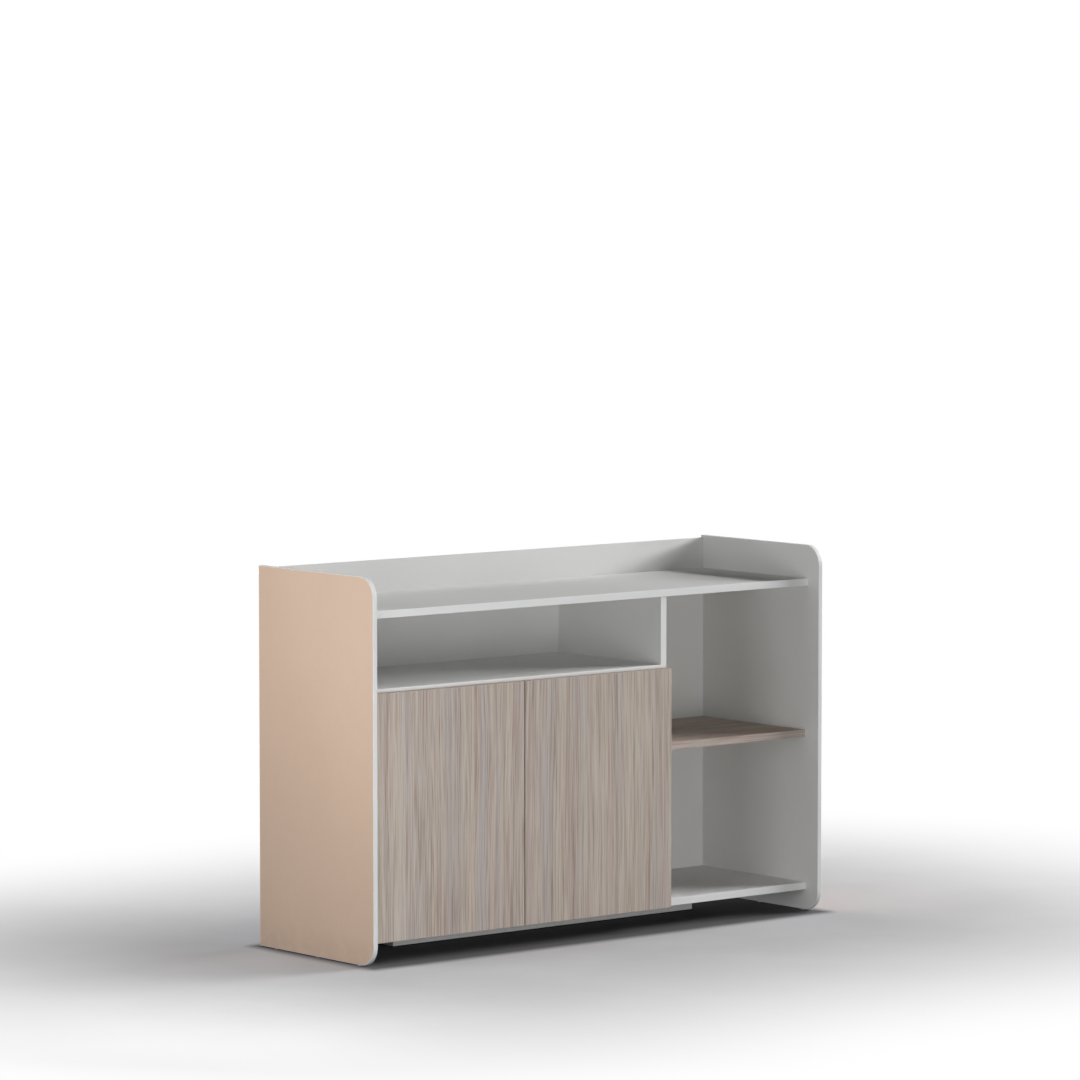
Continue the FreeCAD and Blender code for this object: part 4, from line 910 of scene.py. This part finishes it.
for node in ("front_left_foot", "front_right_foot", "back_left_foot", "back_right_foot"):
    foot_for(node)

# ---------------------------------------------------------------- floor, light and camera

FOOTPRINT = tuple(cad_box[1])[:2]      # half the object's width and depth
FLOOR_RINGS = (0.6, 1.2, 2.4, 5.0, 12.0, 40.0)
FLOOR_CORNERS = 64


def floor():
    """A pale floor that keeps the object's shadow. Right under the object and just around it the floor has a
    painted shadow, and away from it it is plain white.
    """
    finish = Finish("studio_floor")
    finish.dull_at_a_slant(0.2)
    place = finish.split(finish.place)
    past = []
    for axis, half in enumerate(FOOTPRINT):
        off = finish.less(finish.math("ABSOLUTE", place[axis]), half)
        off = finish.math("MAXIMUM", off, 0.0)
        past.append(finish.times(off, off))
    distance = finish.math("SQRT", finish.add(*past))
    cloud = finish.noise(finish.place, 3.0, 4.0, 0.55)
    near = finish.mix(finish.span(cloud, 0.3, 0.7), linear(190, 190, 192), linear(195, 195, 197))
    # Painted shadow: the floor's colour turns dark grey under the object's footprint and fades out about 5 cm
    # beyond it.
    near = finish.mix(finish.span(distance, -0.01, 0.05), linear(96, 96, 98), near)
    fine = finish.noise(finish.place, 420.0, 2.0, 0.5)
    finish.done(near, finish.span(cloud, 0.3, 0.7, 0.80, 0.88), finish.bump(fine, 0.00008, 0.3))
    dim = finish.node("ShaderNodeBsdfDiffuse")
    dim.inputs["Color"].default_value = linear(112, 112, 113)
    white = plain_white(finish.tree, "ShaderNodeEmission", 1.0)
    away = finish.span(distance, 0.10, 1.70)
    fading = mix_shaders(finish.tree, away, finish.shader.outputs[0], white)
    whole = mix_shaders(finish.tree, seen_directly(finish.tree), dim.outputs[0], fading)
    finish.tree.links.new(whole, finish.output.inputs["Surface"])

    def build(bm):
        middle = Matrix.Identity(4)
        last = ring(bm, middle, FLOOR_RINGS[0], 0.0, FLOOR_CORNERS)
        cap(bm, last, middle, 0.0)
        for reach in FLOOR_RINGS[1:]:
            here = ring(bm, middle, reach, 0.0, FLOOR_CORNERS)
            skin(bm, last, here)
            last = here

    piece = piece_from("studio_floor", build, finish.material)
    if any(polygon.normal.z < 0 for polygon in piece.data.polygons):
        piece.data.flip_normals()


floor()

world = bpy.data.worlds.new("studio")
bpy.context.scene.world = world
world.use_nodes = True
tree = world.node_tree
tree.nodes.clear()
faint = plain_white(tree, "ShaderNodeBackground", 0.03)
white = plain_white(tree, "ShaderNodeBackground", 1.0)
out = tree.nodes.new("ShaderNodeOutputWorld")
tree.links.new(mix_shaders(tree, seen_directly(tree), faint, white), out.inputs["Surface"])


def lamp(name, place, target, size, power):
    data = bpy.data.lights.new(name, "AREA")
    data.shape = "RECTANGLE"
    data.size, data.size_y = size
    data.energy = power
    made = bpy.data.objects.new(name, data)
    bpy.context.scene.collection.objects.link(made)
    made.location = place
    made.rotation_euler = (Vector(target) - Vector(place)).to_track_quat("-Z", "Y").to_euler()


# Two soft keys from the right, a weaker fill from each other side, and the back's own light.
lamp("key_right", (5.47, -1.99, 2.30), (0.0, 0.00, 0.85), (2.2, 0.85), 238.0)
lamp("key_side", (5.38, -0.38, 3.48), (0.0, 0.00, 0.85), (2.2, 0.85), 210.0)
lamp("left_high", (-1.60, -0.50, 1.70), (-0.7, -0.10, 0.60), (0.9, 0.9), 2.5)
lamp("left_side", (-1.90, 0.20, 1.10), (-0.7, 0.00, 0.50), (0.9, 0.9), 9.7)
lamp("left_low", (-1.75, -0.95, 0.60), (-0.7, -0.20, 0.45), (0.7, 0.7), 7.8)
lamp("front_wide", (-0.87, -4.91, 0.60), (0.0, 0.00, 0.45), (2.4, 1.2), 34.5)
lamp("front_low", (-0.25, -2.00, 0.25), (0.0, 0.00, 0.30), (0.8, 0.4), 4.1)
lamp("overhead", (0.00, -0.11, 3.70), (0.0, 0.00, 0.50), (1.4, 1.4), 4.5)
lamp("back", (0.30, 3.20, 0.50), (0.0, 0.22, 0.45), (1.4, 1.0), 63.8)

CAMERA_PLACE = (-8.5161, -10.2922, 2.0447)
CAMERA_DIP = 4.705        # degrees below level
CAMERA_TURN = 39.540      # degrees to the right of straight ahead
FOCAL_LENGTH = 185.334    # in millimetres, on a sensor as wide as this:
SENSOR_WIDTH = 36.0

camera_data = bpy.data.cameras.new("camera")
camera_data.sensor_fit = "HORIZONTAL"
camera_data.sensor_width = SENSOR_WIDTH
camera_data.lens = FOCAL_LENGTH
camera_data.clip_start = 0.1
camera_data.clip_end = 200.0
camera = bpy.data.objects.new("camera", camera_data)
bpy.context.scene.collection.objects.link(camera)
camera.location = CAMERA_PLACE
camera.rotation_euler = (math.radians(90 - CAMERA_DIP), 0.0, math.radians(-CAMERA_TURN))
bpy.context.scene.camera = camera
bpy.context.scene.view_settings.view_transform = "Standard"
